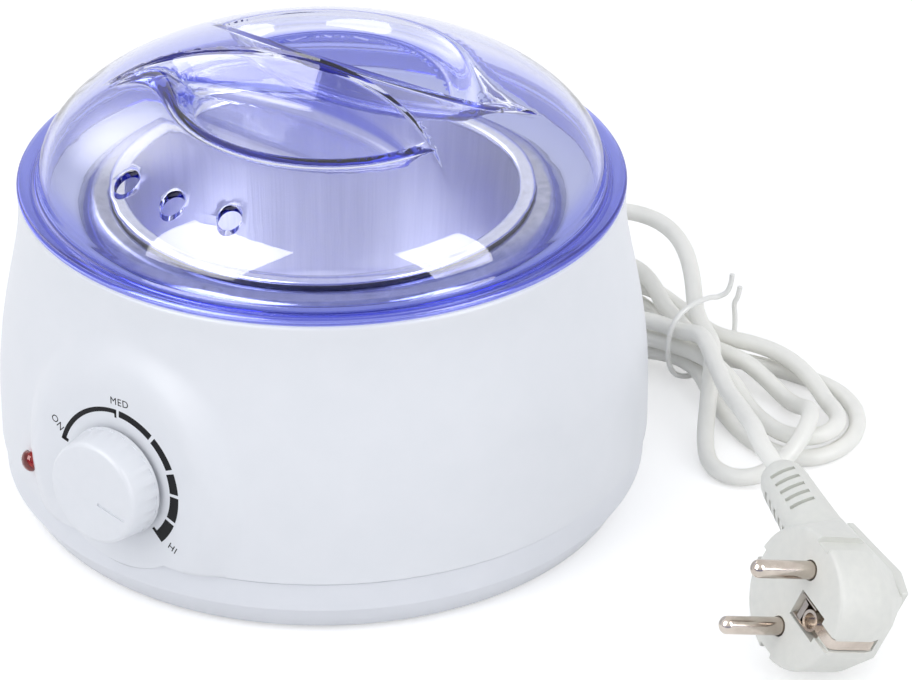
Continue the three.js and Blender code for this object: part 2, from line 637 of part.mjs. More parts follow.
// Flat band bent round the well, open by openAngle at +X
function openBand(inner, thickness, low, high, ear) {
  const open = heater.openAngle / 2 * DEGREE;
  const outer = inner + thickness;
  const shape = new THREE.Shape();
  if (ear > 0) {
    const [c, s] = [Math.cos(open), Math.sin(open)];
    const along = (radius, step) => [radius * c - step * s, radius * s + step * c];
    shape.moveTo(...along(inner, 0));
    shape.lineTo(...along(outer + ear, 0));
    shape.lineTo(...along(outer + ear, thickness));
    shape.lineTo(...along(outer, thickness));
    shape.absarc(0, 0, outer, open + thickness * 2 / outer, FULL_TURN - open - thickness * 2 / outer, false);
    shape.lineTo(outer * c - thickness * s, -outer * s - thickness * c);
    shape.lineTo((outer + ear) * c - thickness * s, -(outer + ear) * s - thickness * c);
    shape.lineTo((outer + ear) * c, -(outer + ear) * s);
    shape.lineTo(inner * c, -inner * s);
  } else {
    shape.absarc(0, 0, outer, open, FULL_TURN - open, false);
  }
  shape.absarc(0, 0, inner, FULL_TURN - open, open, true);
  return prism(shape, low, high, facets.band);
}

function addHeater() {
  const { ear, thickness, clampThickness, clampHeight, screwShank } = heater;
  const middle = heaterMiddle;
  const bandInner = wellOuter + touch;
  const clampInner = bandInner + thickness + touch;
  add('heating_band', openBand(bandInner, thickness, heaterLow, heaterLow + heater.height, 0), mica);
  const screwX = clampInner + clampThickness + ear / 2;
  const hole = solid(rod(screwShank + touch, -ear * 2, ear * 2).rotateX(RIGHT_ANGLE)
    .translate(screwX, 0, middle));
  const clampLow = middle - clampHeight / 2;
  const strap = solid(openBand(clampInner, clampThickness, clampLow, clampLow + clampHeight, ear));
  add('heater_clamp', strap.subtract(hole), steel);
  const earY = screwX * Math.tan(heater.openAngle / 2 * DEGREE) + clampThickness * 2 + touch;
  add('clamp_screw', screw(screwShank, earY * 2 + heater.screwSpare, heater.screwHead, heater.screwHeadLength)
    .rotateX(-RIGHT_ANGLE).translate(screwX, -earY, middle), steel);
}

function addFuse() {
  const top = well.bottom - touch;
  const high = top - fuse.radius;
  add('thermal_fuse', rod(fuse.radius, -fuse.length / 2, fuse.length / 2).rotateY(RIGHT_ANGLE)
    .translate(0, fuse.offset, high - touch), nylon);
  const inner = fuse.radius + touch;
  const outer = inner + fuse.clipWall;
  const shape = new THREE.Shape();
  const flat = top - (high - touch);
  shape.moveTo(-outer - fuse.clipEar, flat);
  shape.lineTo(-outer - fuse.clipEar, flat - fuse.clipWall);
  shape.lineTo(-outer, flat - fuse.clipWall);
  shape.absarc(0, 0, outer, Math.PI, FULL_TURN, false);
  shape.lineTo(outer, flat - fuse.clipWall);
  shape.lineTo(outer + fuse.clipEar, flat - fuse.clipWall);
  shape.lineTo(outer + fuse.clipEar, flat);
  shape.lineTo(inner, flat);
  shape.absarc(0, 0, inner, 0, -Math.PI, true);
  shape.lineTo(-inner, flat);
  add('fuse_clip', prism(shape, -fuse.clipWidth / 2, fuse.clipWidth / 2, facets.screw).rotateX(RIGHT_ANGLE)
    .rotateZ(RIGHT_ANGLE).translate(0, fuse.offset, high - touch), steel);
}

// Bar, nut, washers and screws that hold the well down, with the earth tag under one screw
function addBar() {
  const low = pillarTop + touch;
  const high = low + bar.thickness;
  const holes = [-bar.screwOffset, bar.screwOffset].map((x) => (
    solid(rod(barHole, low - overrun, high + overrun).translate(x, 0, 0))
  ));
  add('well_bar', cut(solid(block(bar.length, bar.width, low, high)),
    [solid(rod(studHole, low - overrun, high + overrun)), ...holes]), steel);
  add('well_nut', ring(bar.nut, studHole, low - touch - bar.nutHeight, low - touch, 6), brass);
  const washerLow = high + touch;
  const washerHigh = washerLow + bar.washerThickness;
  add('bar_washer', ring(bar.washer, barHole, washerLow, washerHigh).translate(bar.screwOffset, 0, 0), steel);
  const tail = solid(block(bar.tagLength, bar.tagWidth, washerLow, washerHigh)
    .translate(-bar.screwOffset - bar.washer / 2 - bar.tagLength / 2, 0, 0));
  const eye = solid(rod(bar.washer, washerLow, washerHigh).translate(-bar.screwOffset, 0, 0));
  const bore = solid(rod(barHole, washerLow - overrun, washerHigh + overrun).translate(-bar.screwOffset, 0, 0));
  add('earth_tag', joined([eye, tail]).subtract(bore), brass);
  [-bar.screwOffset, bar.screwOffset].forEach((x, i) => {
    add(`bar_screw_${i}`, screw(bar.screwShank, bar.screwReach, bar.screwHead, bar.screwHeadHeight)
      .rotateX(RIGHT_ANGLE * 2).translate(x, 0, washerHigh + touch), steel);
  });
}

// Cord bushing: flanges each side of the wall and a tapering boot
function makeBushing() {
  const outside = housingRadius + touch;
  const inside = housingRadius - bushing.inset;
  const { innerLength, innerFlange, neck, flange, flangeLength, boot, tip } = bushing;
  return turned([
    [cordBore, inside], [innerFlange, inside],
    [innerFlange, inside + innerLength], [neck, inside + innerLength],
    [neck, outside], [flange, outside], [flange, outside + flangeLength], [boot, outside + flangeLength],
    [tip, cord.exit - touch], [cordBore, cord.exit - touch], [cordBore, inside],
  ], facets.pin).rotateX(-RIGHT_ANGLE);
}

// Cord clamp over the saddle, with its two screws
function addClamp() {
  const middle = saddleMiddle;
  const low = cord.height + cord.radius + touch;
  const high = low + clampBar.height;
  const spread = [-saddle.screwOffset, saddle.screwOffset];
  const holes = spread.map((x) => (
    solid(rod(clampPilot, low - overrun, high + overrun).translate(x, middle, 0))
  ));
  const plain = solid(block(clampBar.width, clampBar.depth, low, high).translate(0, middle, 0));
  add('cord_clamp', cut(plain, holes), nylon);
  spread.forEach((x, i) => {
    add(`cord_clamp_screw_${i}`, screw(clampBar.shank, clampBar.reach, clampBar.head, clampBar.headHeight)
      .rotateX(RIGHT_ANGLE * 2).translate(x, middle, high + touch), steel);
  });
}

// Terminal block beside the saddle, its terminals open at the top
function terminalPlace(slot, height) {
  const angle = terminal.placeAngle * DEGREE;
  const across = slot * terminal.spacing;
  return [
    terminalRing * Math.sin(angle) + across * Math.cos(angle),
    terminalRing * Math.cos(angle) - across * Math.sin(angle), height,
  ];
}

const terminalTop = baseFloor + touch + terminal.height;

function makeTerminalBlock() {
  const body = solid(block(terminal.length, terminal.depth, terminalTop - terminal.height, terminalTop)
    .rotateZ(-terminal.placeAngle * DEGREE).translate(...terminalPlace(0, 0)));
  const bores = [-1, 0, 1].map((slot) => {
    const bore = rod(terminal.bore, terminalTop - terminal.boreDepth, terminalTop + overrun);
    return solid(bore.translate(...terminalPlace(slot, 0)));
  });
  return cut(body, bores);
}

// Wires: from the cut sheath to the terminals and the earth tag, then round the floor to the front
const sheathEnd = saddleBack + wire.sheathCut;
const lampPoint = (depth) => new THREE.Vector3(0, 0, -depth).applyMatrix4(lampPlace.matrixWorld).toArray();

function alongFloor(fromAngle, toAngle, height, steps) {
  return Array.from({ length: steps }, (_, i) => {
    const angle = (fromAngle + (toAngle - fromAngle) * i / Math.max(1, steps - 1)) * DEGREE;
    return [wireRing * Math.sin(angle), wireRing * Math.cos(angle), height];
  });
}

function addWires() {
  const inner = [[0, cord.exit - touch, cord.height], [0, sheathEnd, cord.height]];
  add('inner_cable', tube(route(inner), cord.radius, facets.cord, 1), whitePlastic);
  const { spacing, rise } = wire;
  const { height } = cord;
  const start = sheathEnd - touch;
  const straight = start - wire.straight;
  const bend = wireRing + touch;
  const low = baseFloor + rise;
  const into = (slot) => terminalPlace(slot, terminalTop - terminal.boreDepth / 2);
  const over = (slot) => terminalPlace(slot, terminalTop + rise);
  const behind = (x, y, away) => dialPoint(x, y, -thermostatBack - away);
  const half = thermostat.body / 2;
  const bandOuter = wellOuter + heater.thickness + touch * 2;
  const heaterEnd = heaterMiddle - wire.heaterDrop;
  const wires = [
    ['wire_line', 0x8a4b2a, [
      [spacing, start, height], [spacing, straight, height], [spacing * 4, bend, height - spacing],
      over(-1), into(-1),
    ]],
    ['wire_neutral', 0x2f55b0, [
      [0, start, height + spacing], [0, straight, height + spacing], [spacing * 4, bend, height + spacing * 2],
      over(0), into(0),
    ]],
    ['wire_earth', 0x6fae3a, [
      [-spacing, start, height], [-spacing, straight, height], [-spacing * 4, bend, height - spacing],
      ...alongFloor(earthRun.fromAngle, earthRun.toAngle, pillarTop, earthRun.points),
      [-bar.screwOffset - bar.washer - bar.tagLength, 0, pillarTop + bar.thickness + touch * 3],
    ]],
    ['wire_control', 0x8a4b2a, [
      into(1), over(1),
      ...alongFloor(controlRun.startAngle, controlRun.fromAngle, terminalTop + wire.straight, 1),
      ...alongFloor(controlRun.fromAngle, controlRun.toAngle, low, controlRun.points),
      behind(half, -thermostat.body, wire.clear), behind(half, -half, wire.clear - touch),
      behind(half, -half, touch),
    ]],
    ['wire_lamp', 0x2f55b0, [
      lampPoint(lamp.depth + touch), lampPoint(lamp.depth + rise), behind(-half, -half, wire.clear),
      behind(-half, -half, touch),
    ]],
    ['wire_heater', 0x8a4b2a, [
      behind(0, half, touch), behind(0, half, wire.straight),
      [0, -bandOuter - wire.heaterBend, heaterEnd + touch], [0, -bandOuter, heaterEnd],
    ]],
  ];
  wires.forEach(([name, color, points]) => {
    add(name, tube(route(points), wire.radius, facets.wire, points.length * 2), finish(color, 0.5));
  });
}

// Small screws of the thermostat bracket and the base
function addScrews() {
  const { plate, screwShank, screwHead, screwHeadHeight, screwTip } = thermostat;
  const back = plateFront + plate + touch;
  [-boss.screwOffset, boss.screwOffset].forEach((x, i) => {
    add(`thermostat_screw_${i}`, screw(screwShank, back - screwTip, screwHead, screwHeadHeight)
      .translate(x, 0, -back), steel, dial);
  });
  around(4, postRing, 45).forEach(([x, y], i) => {
    add(`base_screw_${i}`, screw(baseScrew.shank, baseScrew.reach, baseScrew.head, baseScrew.headHeight)
      .translate(x, y, base.under + baseScrew.headHeight + touch), steel);
  });
  around(4, footRing, 0).forEach(([x, y], i) => {
    const top = Math.min(foot.height, base.under + foot.recess - touch);
    add(`foot_pad_${i}`, rod(foot.radius, 0, top).translate(x, y, 0), blackRubber);
  });
}

// Hank: where each loop runs in plan, before its heights are settled
const bundle = hank.bundleAngle * DEGREE;
const heading = (angle) => new THREE.Vector2(Math.cos(angle * DEGREE), Math.sin(angle * DEGREE));
const tiePlace = new THREE.Vector2(hank.tieX, hank.tieY);

function passPlace([half], along) {
  const across = half * hank.pitch / 2;
  return new THREE.Vector2(along, across).rotateAround(new THREE.Vector2(), bundle).add(tiePlace);
}

// Lowest height of the cord at a place in plan: on the table, and raised at the tie
function lowest(x, y) {
  const away = Math.hypot(x - hank.tieX, y - hank.tieY) / hank.risenWithin;
  return cord.radius + cord.rest + hank.tieRise * (1 - smooth(away));
}

function loopPoints(row, k) {
  const [outAngle, outPull, reach, farAngle, farHeading, pullIn, pullOut, backAngle, backPull] = row;
  const side = k % 2 === 0 ? hank.straight : -hank.straight;
  const [from, to] = [passPlace(passes[k], side), passPlace(passes[k + 1], side)];
  const far = heading(farAngle).multiplyScalar(reach).add(tiePlace);
  const past = (place, angle, pull) => heading(angle).multiplyScalar(pull).add(place);
  const path = new THREE.CurvePath();
  const [nearFar, pastFar] = [past(far, farHeading, -pullIn), past(far, farHeading, pullOut)];
  path.add(new THREE.CubicBezierCurve(from, past(from, outAngle, outPull), nearFar, far));
  path.add(new THREE.CubicBezierCurve(far, pastFar, past(to, backAngle, backPull), to));
  const steps = Math.round(path.getLength() / hank.grain);
  return path.getSpacedPoints(steps).map(({ x, y }, i) => (
    { x, y, layer: passes[i < steps / 2 ? k : k + 1][1] }
  ));
}

// Even out the bends in plan, the ends kept
function ease(points) {
  let eased = points;
  for (let round = 0; round < hank.easing; round += 1) {
    const last = eased;
    eased = last.map((point, i) => {
      if (i === 0 || i === last.length - 1) return point;
      const mean = (axis) => (last[i - 1][axis] + point[axis] + point[axis] + last[i + 1][axis]) / 4;
      return { ...point, x: mean('x'), y: mean('y') };
    });
  }
  return eased;
}

// Lay the cord down: where two runs cross, the one in the higher layer climbs over in a long low hump
function settle(points) {
  const apartInPlan = (one, other) => Math.hypot(one.x - other.x, one.y - other.y);
  const step = points.map((point, i) => (i ? apartInPlan(point, points[i - 1]) : 0));
  let sum = 0;
  const travel = step.map((length) => { sum += length; return sum; });
  const apart = cord.radius * 2 + cord.least + cord.spare;
  const crossings = [];
  for (let i = 0; i < points.length; i += 1) {
    for (let j = i + 1; j < points.length; j += 1) {
      const away = apartInPlan(points[i], points[j]);
      if (travel[j] - travel[i] < hank.separate || away >= apart) continue;
      const above = points[i].layer >= points[j].layer ? [i, j] : [j, i];
      crossings.push([...above, Math.sqrt(apart ** 2 - away ** 2)]);
    }
  }
  const need = points.map((point) => point.low);
  let height = [...need];
  for (let round = 0; round < hank.settling; round += 1) {
    let moved = false;
    crossings.forEach(([upper, lower, climb]) => {
      if (height[lower] + climb <= Math.max(height[upper], need[upper]) + cord.rest / 10) return;
      need[upper] = height[lower] + climb;
      moved = true;
    });
    if (!moved) break;
    height = points.map((point, i) => need.reduce((best, wanted, k) => {
      const share = Math.abs(travel[i] - travel[k]) / hank.hump;
      const rise = share < 1 ? (wanted - point.low) * (1 + Math.cos(Math.PI * share)) / 2 : 0;
      return Math.max(best, point.low + rise);
    }, point.low));
  }
  return points.map((point, i) => new THREE.Vector3(point.x, point.y, height[i]));
}

// The whole free cord as one curve: lead, hank and tail
const plugPoint = (x, y) => new THREE.Vector3(x, y, 0).applyMatrix4(plugPlace.matrixWorld);
const tipPoint = plugPoint(-plug.tipX, -plug.tipY);

function cordPoints() {
  const handLaid = (points, layer) => {
    const line = route(points);
    const spaced = line.getSpacedPoints(Math.round(line.getLength() / hank.grain));
    return spaced.map(({ x, y, z }) => ({ x, y, z, layer }));
  };
  const [lead, tail] = [handLaid(leadRoute, 2), handLaid([...tailRoute, tipPoint.toArray()], 3)];
  const eased = ease([...lead, ...loops.flatMap(loopPoints), ...tail]);
  const all = eased.map((point) => ({ ...point, low: point.z ?? lowest(point.x, point.y) }));
  return settle(all).filter((_, i) => i % 3 === 0 || i === all.length - 1);
}

const cordLine = new THREE.CatmullRomCurve3(cordPoints(), false, 'centripetal');
cordLine.arcLengthDivisions = 3000;

// A stretch of a longer curve
class Stretch extends THREE.Curve {
  constructor(whole, from, to) {
    super();
    Object.assign(this, { whole, from, to });
  }

  getPoint(share, target = new THREE.Vector3()) {
    return target.copy(this.whole.getPointAt(this.from + (this.to - this.from) * share));
  }
}

function leastGap(curve, radius, count) {
  const points = curve.getSpacedPoints(count);
  const skip = Math.ceil(hank.separate * count / curve.getLength());
  let least = Infinity;
  for (let i = 0; i <= count; i += 1) {
    for (let j = i + skip; j <= count; j += 1) least = Math.min(least, points[i].distanceTo(points[j]));
  }
  return least - radius * 2;
}

function addCord() {
  const length = cordLine.getLength();
  const half = touch / 2;
  const tailStart = length - hank.tail;
  const parts = [
    ['cord_lead', touch, hank.start - half, facets.cord, 14],
    ['cord_hank', hank.start + half, tailStart - half, facets.hank, loops.length * 24],
    ['cord_tail', tailStart + half, length - touch, facets.cord, 16],
  ];
  parts.forEach(([name, from, to, sides, steps]) => {
    const stretch = new Stretch(cordLine, from / length, to / length);
    add(name, tube(stretch, cord.radius, sides, steps), whitePlastic);
  });
  const gap = leastGap(cordLine, cord.radius, 1200);
  console.log(`cord ${length.toFixed(0)} mm, least gap to itself ${gap.toFixed(2)} mm`);
}

// Wire twisted round the hank, its two ends standing up
function tiePoints() {
  const power = 2 / tieWire.squareShare;
  const bulge = (wave) => Math.sign(wave) * Math.abs(wave) ** power;
  const loop = Array.from({ length: tieWire.points }, (_, i) => {
    const turn = i / (tieWire.points - 1);
    const angle = tieWire.startAngle * DEGREE + FULL_TURN * tieWire.turnShare * turn;
    const place = new THREE.Vector2(tieWire.drift * turn, tieWire.across * bulge(Math.cos(angle)))
      .rotateAround(new THREE.Vector2(), bundle).add(tiePlace);
    return [place.x, place.y, tieWire.middle + tieWire.above * bulge(Math.sin(angle))];
  });
  return [...[...tieTails[0]].reverse(), ...loop, ...tieTails[1]];
}

const tieLine = route(tiePoints());

// Plug body: round face, tapered back, guide notches, pin and earth holes, and the flexible boot
function makePlugBody() {
  const { face, faceDepth, back, backHalf, backEdge, backFar, round, guide, guideDepth } = plug;
  const disc = (radius, x) => rod(radius, 0, touch, facets.dial).rotateY(RIGHT_ANGLE).translate(x, 0, 0);
  const slab = (x, half) => new THREE.BoxGeometry(touch, backEdge + backFar, half * 2)
    .translate(x, (backFar - backEdge) / 2, 0);
  const hullOf = (geometries) => wasm.Manifold.hull(geometries.map(solid));
  const front = hullOf([disc(face - round, -touch), disc(face, -round - touch), disc(face, -faceDepth)]);
  const rear = hullOf([
    disc(face, -faceDepth), slab(-back + touch, backHalf), slab(-faceDepth - round, plug.shoulderHalf),
  ]);
  const bootLine = new THREE.LineCurve3(
    new THREE.Vector3(-plug.bootX, -plug.bootY, 0), new THREE.Vector3(-plug.tipX, -plug.tipY, 0),
  );
  const bootLength = bootLine.getLength();
  const boot = turned([[0, 0], [plug.shoulder, 0], [plug.tip, bootLength], [0, bootLength]], facets.pin);
  const leaving = bootLine.v2.clone().sub(bootLine.v1).normalize();
  boot.applyQuaternion(new THREE.Quaternion().setFromUnitVectors(new THREE.Vector3(0, 0, 1), leaving));
  boot.translate(...bootLine.v1.toArray());
  const notches = [-1, 1].map((side) => (
    solid(new THREE.BoxGeometry(overrun + faceDepth, guide, guideDepth * 2)
      .translate((overrun - faceDepth) / 2, 0, side * face))
  ));
  const reach = plug.stripLength;
  const stripDepth = (plug.stripThickness + plug.stripSink + touch) * 2;
  const strips = [-1, 1].map((side) => (
    solid(new THREE.BoxGeometry(reach + overrun, stripDepth, plug.stripWidth + touch * 2)
      .translate((overrun - reach) / 2 - touch, side * face, 0))
  ));
  const hole = (radius, depth) => rod(radius, -depth, overrun).rotateY(RIGHT_ANGLE);
  const pinHoles = [-1, 1].map((side) => (
    solid(hole(pinHole, plug.pinRoot + touch).translate(0, 0, side * plug.pinOffset))
  ));
  const earth = solid(hole(plug.earthHole, plug.earthDepth).translate(0, plug.earthPlace, 0));
  return cut(joined([front, rear, solid(boot)]), [...notches, ...strips, ...pinHoles, earth]);
}

function addPlug() {
  add('plug_body', makePlugBody(), whitePlastic, plugPlace);
  [-1, 1].forEach((side, i) => {
    const { pin, pinLength, pinRoot } = plug;
    const shape = turned([
      [0, -pinRoot], [pin, -pinRoot], ...corner(pin, pinLength - pin, 0, pinLength, 4, false),
    ], facets.pin).rotateY(RIGHT_ANGLE).translate(0, 0, side * plug.pinOffset);
    add(`plug_pin_${1 - i}`, shape, nickel, plugPlace);
    const strip = new THREE.BoxGeometry(plug.stripLength, plug.stripThickness, plug.stripWidth)
      .translate(-plug.stripLength / 2, side * (plug.face - plug.stripThickness / 2 - plug.stripSink), 0);
    add(`plug_earth_strip_${1 - i}`, strip, nickel, plugPlace);
  });
}

// Everything in its place
add('body_shell', makeShell(), whiteGloss);
add('base_cover', makeBase(), whiteGloss);
add('heater_well', makeWell(), steel);
add('inner_pot', makePot(), aluminium);
add('lid', makeLid(), clearViolet, lidPlace);
add('knob', makeKnob(), whiteGloss, dial);
add('thermostat_shaft', rod(thermostat.shaft, -thermostat.shaftBack, knobFront - thermostat.shaftSkin),
  steel, dial);
add('thermostat_body', makeThermostat(), darkPhenolic, dial);
add('thermostat_bracket', makeBracket(), steel, dial);
add('lamp_lens', makeLens(), redLens, lampPlace);
add('neon_lamp', rod(lamp.neon, -lamp.depth, lamp.neonLength - lamp.depth, facets.screw), glass, lampPlace);
const holderFront = -housing.wall - slide;
const holder = ring(lamp.holder, lampHoleRadius, holderFront - lamp.holderLength, holderFront);
add('lamp_holder', holder, nylon, lampPlace);
addHeater();
addFuse();
addBar();
add('cord_bushing', makeBushing().translate(0, 0, cord.height), whitePlastic);
addClamp();
add('terminal_block', makeTerminalBlock(), nylon);
addWires();
addScrews();
addCord();
add('twist_tie', tube(tieLine, tieWire.radius, facets.wire, tieWire.steps), whitePlastic);
addPlug();

export default group;
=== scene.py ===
# Salon wax warmer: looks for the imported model. Metres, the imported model's own frame.
import json
import math

import bmesh
import bpy
from mathutils import Matrix, Vector
from mathutils.geometry import delaunay_2d_cdt


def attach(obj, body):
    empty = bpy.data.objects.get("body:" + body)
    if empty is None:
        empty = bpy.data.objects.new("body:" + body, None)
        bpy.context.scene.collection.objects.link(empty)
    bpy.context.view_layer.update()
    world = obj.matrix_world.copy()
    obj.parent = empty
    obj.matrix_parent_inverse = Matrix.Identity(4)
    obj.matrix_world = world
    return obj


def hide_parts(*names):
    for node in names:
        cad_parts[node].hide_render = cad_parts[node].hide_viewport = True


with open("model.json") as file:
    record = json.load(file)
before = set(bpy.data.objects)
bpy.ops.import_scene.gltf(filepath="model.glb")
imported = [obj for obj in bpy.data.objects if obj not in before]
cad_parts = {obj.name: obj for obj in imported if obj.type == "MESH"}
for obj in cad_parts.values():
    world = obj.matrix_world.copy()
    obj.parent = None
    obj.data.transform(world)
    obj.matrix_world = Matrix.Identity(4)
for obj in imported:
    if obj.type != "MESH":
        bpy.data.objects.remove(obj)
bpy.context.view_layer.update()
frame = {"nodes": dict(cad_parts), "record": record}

MM = 0.001
DEGREE = math.pi / 180
FULL_TURN = 2 * math.pi
SAME_PLACE = 0.001 * MM


# Helpers for materials
def linear(code):
    """Linear colour with alpha from an sRGB hex value."""
    shares = [(code >> shift & 255) / 255 for shift in (16, 8, 0)]
    return [c / 12.92 if c <= 0.04045 else ((c + 0.055) / 1.055) ** 2.4 for c in shares] + [1]


def give(tree, socket, value):
    """Sets a socket to the value, or links it where that is a socket or a node, by its first output."""
    if isinstance(value, bpy.types.Node):
        value = value.outputs[0]
    if isinstance(value, bpy.types.NodeSocket):
        tree.links.new(value, socket)
    else:
        socket.default_value = value


def node(tree, kind, inputs=None, **settings):
    """Adds one node with its settings, values and links."""
    made = tree.nodes.new(kind)
    for name, value in settings.items():
        setattr(made, name, value)
    for name, value in (inputs or {}).items():
        give(tree, made.inputs[name], value)
    return made


def material(name):
    """Empty material: its tree, and the shader that ends in the output."""
    made = bpy.data.materials.new(name)
    made.use_nodes = True
    tree = made.node_tree
    tree.nodes.clear()
    shader = node(tree, "ShaderNodeBsdfPrincipled")
    node(tree, "ShaderNodeOutputMaterial", {"Surface": shader})
    return made, tree, shader


def set_on(shader, tree, **values):
    for name, value in values.items():
        give(tree, shader.inputs[name.replace("_", " ")], value)


def noise(tree, size_mm, detail=2.0):
    """Noise whose largest features are size_mm across, on Object coordinates."""
    place = node(tree, "ShaderNodeTexCoord").outputs["Object"]
    sized = node(tree, "ShaderNodeMapping", {"Vector": place, "Scale": [1000 / size_mm] * 3})
    return node(tree, "ShaderNodeTexNoise", {"Vector": sized, "Scale": 1.0, "Detail": detail}).outputs["Fac"]


def between(tree, value, low, high):
    """Value from 0..1 mapped to low..high."""
    return node(tree, "ShaderNodeMapRange", {"Value": value, "To Min": low, "To Max": high})


def tinted(tree, value, first, second):
    """Colour between two hex values."""
    ends = {"Factor": value, 6: linear(first), 7: linear(second)}
    return node(tree, "ShaderNodeMix", ends, data_type="RGBA").outputs[2]


def bumped(tree, value, depth_mm):
    return node(tree, "ShaderNodeBump", {"Height": value, "Distance": depth_mm * MM})


# Helpers for pieces
def new_object(name, data):
    made = bpy.data.objects.new(name, data)
    bpy.context.scene.collection.objects.link(made)
    return made


def plain_mesh(piece):
    """Mesh of the piece as its modifiers leave it."""
    return bpy.data.meshes.new_from_object(piece.evaluated_get(bpy.context.evaluated_depsgraph_get()))


def settle(piece):
    """Carries out the piece's modifiers for good."""
    mesh = plain_mesh(piece)
    piece.modifiers.clear()
    piece.data = mesh


def tidy(piece, sharp=35):
    """Doubles merged, normals outwards, smooth faces with edges sharper than the angle marked."""
    shape = bmesh.new()
    shape.from_mesh(piece.data)
    bmesh.ops.remove_doubles(shape, verts=shape.verts, dist=SAME_PLACE)
    bmesh.ops.dissolve_degenerate(shape, edges=shape.edges, dist=SAME_PLACE)
    bmesh.ops.recalc_face_normals(shape, faces=shape.faces)
    for face in shape.faces:
        face.smooth = True
    for edge in shape.edges:
        edge.smooth = len(edge.link_faces) == 2 and edge.calc_face_angle(0) < sharp * DEGREE
    shape.to_mesh(piece.data)
    shape.free()


def mesh_piece(name, points, faces, finish, sharp=35):
    """Object from points in mm and faces."""
    mesh = bpy.data.meshes.new(name)
    mesh.from_pydata([[c * MM for c in point] for point in points], [], faces)
    made = new_object(name, mesh)
    tidy(made, sharp)
    mesh.materials.append(finish)
    return made


def cut_away(piece, cutter):
    """Takes the cutter out of the piece for good."""
    cutting = piece.modifiers.new("cut", "BOOLEAN")
    cutting.operation, cutting.solver, cutting.object = "DIFFERENCE", "EXACT", cutter
    cutting.use_self = True
    settle(piece)
    bpy.data.objects.remove(cutter)
    tidy(piece)


def weld(first, others):
    """Joins the others onto the first piece for good."""
    for other in others:
        joining = first.modifiers.new("join", "BOOLEAN")
        joining.operation, joining.solver, joining.object = "UNION", "EXACT", other
        settle(first)
        bpy.data.objects.remove(other)
    tidy(first, 28)


def moved(points, place):
    return [tuple(place @ Vector(point)) for point in points]


def turned_by(degrees, axis):
    return Matrix.Rotation(degrees * DEGREE, 4, axis)


def shifted(x, y, z):
    return Matrix.Translation((x, y, z))


def circle(radius, steps, middle=(0, 0)):
    """Even places round a circle."""
    return [(middle[0] + radius * math.cos(a), middle[1] + radius * math.sin(a))
            for a in (FULL_TURN * i / steps for i in range(steps))]


def lathe(profile, steps):
    """Closed turned mesh about Z: points and faces from (radius, height) pairs."""
    points, faces, rings = [], [], []
    for radius, height in profile:
        ring = [(x, y, height) for x, y in circle(radius, steps)] if radius > 0 else [(0, 0, height)]
        rings.append(range(len(points), len(points) + len(ring)))
        points += ring
    if profile[0][0] > 0:
        rings.append(rings[0])
    for low, high in zip(rings, rings[1:]):
        for i in range(steps):
            j = (i + 1) % steps
            corners = [low[i % len(low)], low[j % len(low)], high[j % len(high)], high[i % len(high)]]
            face = list(dict.fromkeys(corners))
            if len(face) > 2:
                faces.append(face)
    return points, faces


def turned_piece(name, profile, steps, finish, sharp=35, place=Matrix.Identity(4)):
    """Turned piece whose axis is the Z of its place."""
    points, faces = lathe(profile, steps)
    return mesh_piece(name, moved(points, place), faces, finish, sharp)


def box_mesh(low, high, place=Matrix.Identity(4)):
    points = [(x, y, z) for x in (low[0], high[0]) for y in (low[1], high[1]) for z in (low[2], high[2])]
    faces = [(0, 1, 3, 2), (4, 6, 7, 5), (0, 4, 5, 1), (2, 3, 7, 6), (0, 2, 6, 4), (1, 5, 7, 3)]
    return moved(points, place), faces


def bar_faces(sections):
    """Faces of a closed bar with four points to each section."""
    faces = [(0, 2, 3, 1)]
    end = 4 * (sections - 1)
    for a in range(0, end, 4):
        b = a + 4
        faces += [(a, a + 1, b + 1, b), (a + 2, b + 2, b + 3, a + 3)]
        faces += [(a, b, b + 2, a + 2), (a + 1, a + 3, b + 3, b + 1)]
    return faces + [(end, end + 1, end + 3, end + 2)]


def band(first, second):
    """Faces between two rings of as many points."""
    ahead, beyond = first[1:] + first[:1], second[1:] + second[:1]
    return list(zip(first, ahead, beyond, second))


def gathered(parts):
    """One mesh from several."""
    points, faces = [], []
    for part_points, part_faces in parts:
        start = len(points)
        points += part_points
        faces += [[start + i for i in face] for face in part_faces]
    return points, faces


def corner(r0, z0, r1, z1, steps, flat_first):
    """Quarter ellipse from (r0, z0) to (r1, z1), leaving along r when flat_first."""
    made = []
    for i in range(steps + 1):
        angle = math.pi / 2 * i / steps
        along, across = math.sin(angle), 1 - math.cos(angle)
        if not flat_first:
            along, across = across, along
        made.append((r0 + (r1 - r0) * along, z0 + (z1 - z0) * across))
    return made


def smooth(share):
    t = min(1, max(0, share))
    return t * t * (3 - 2 * t)


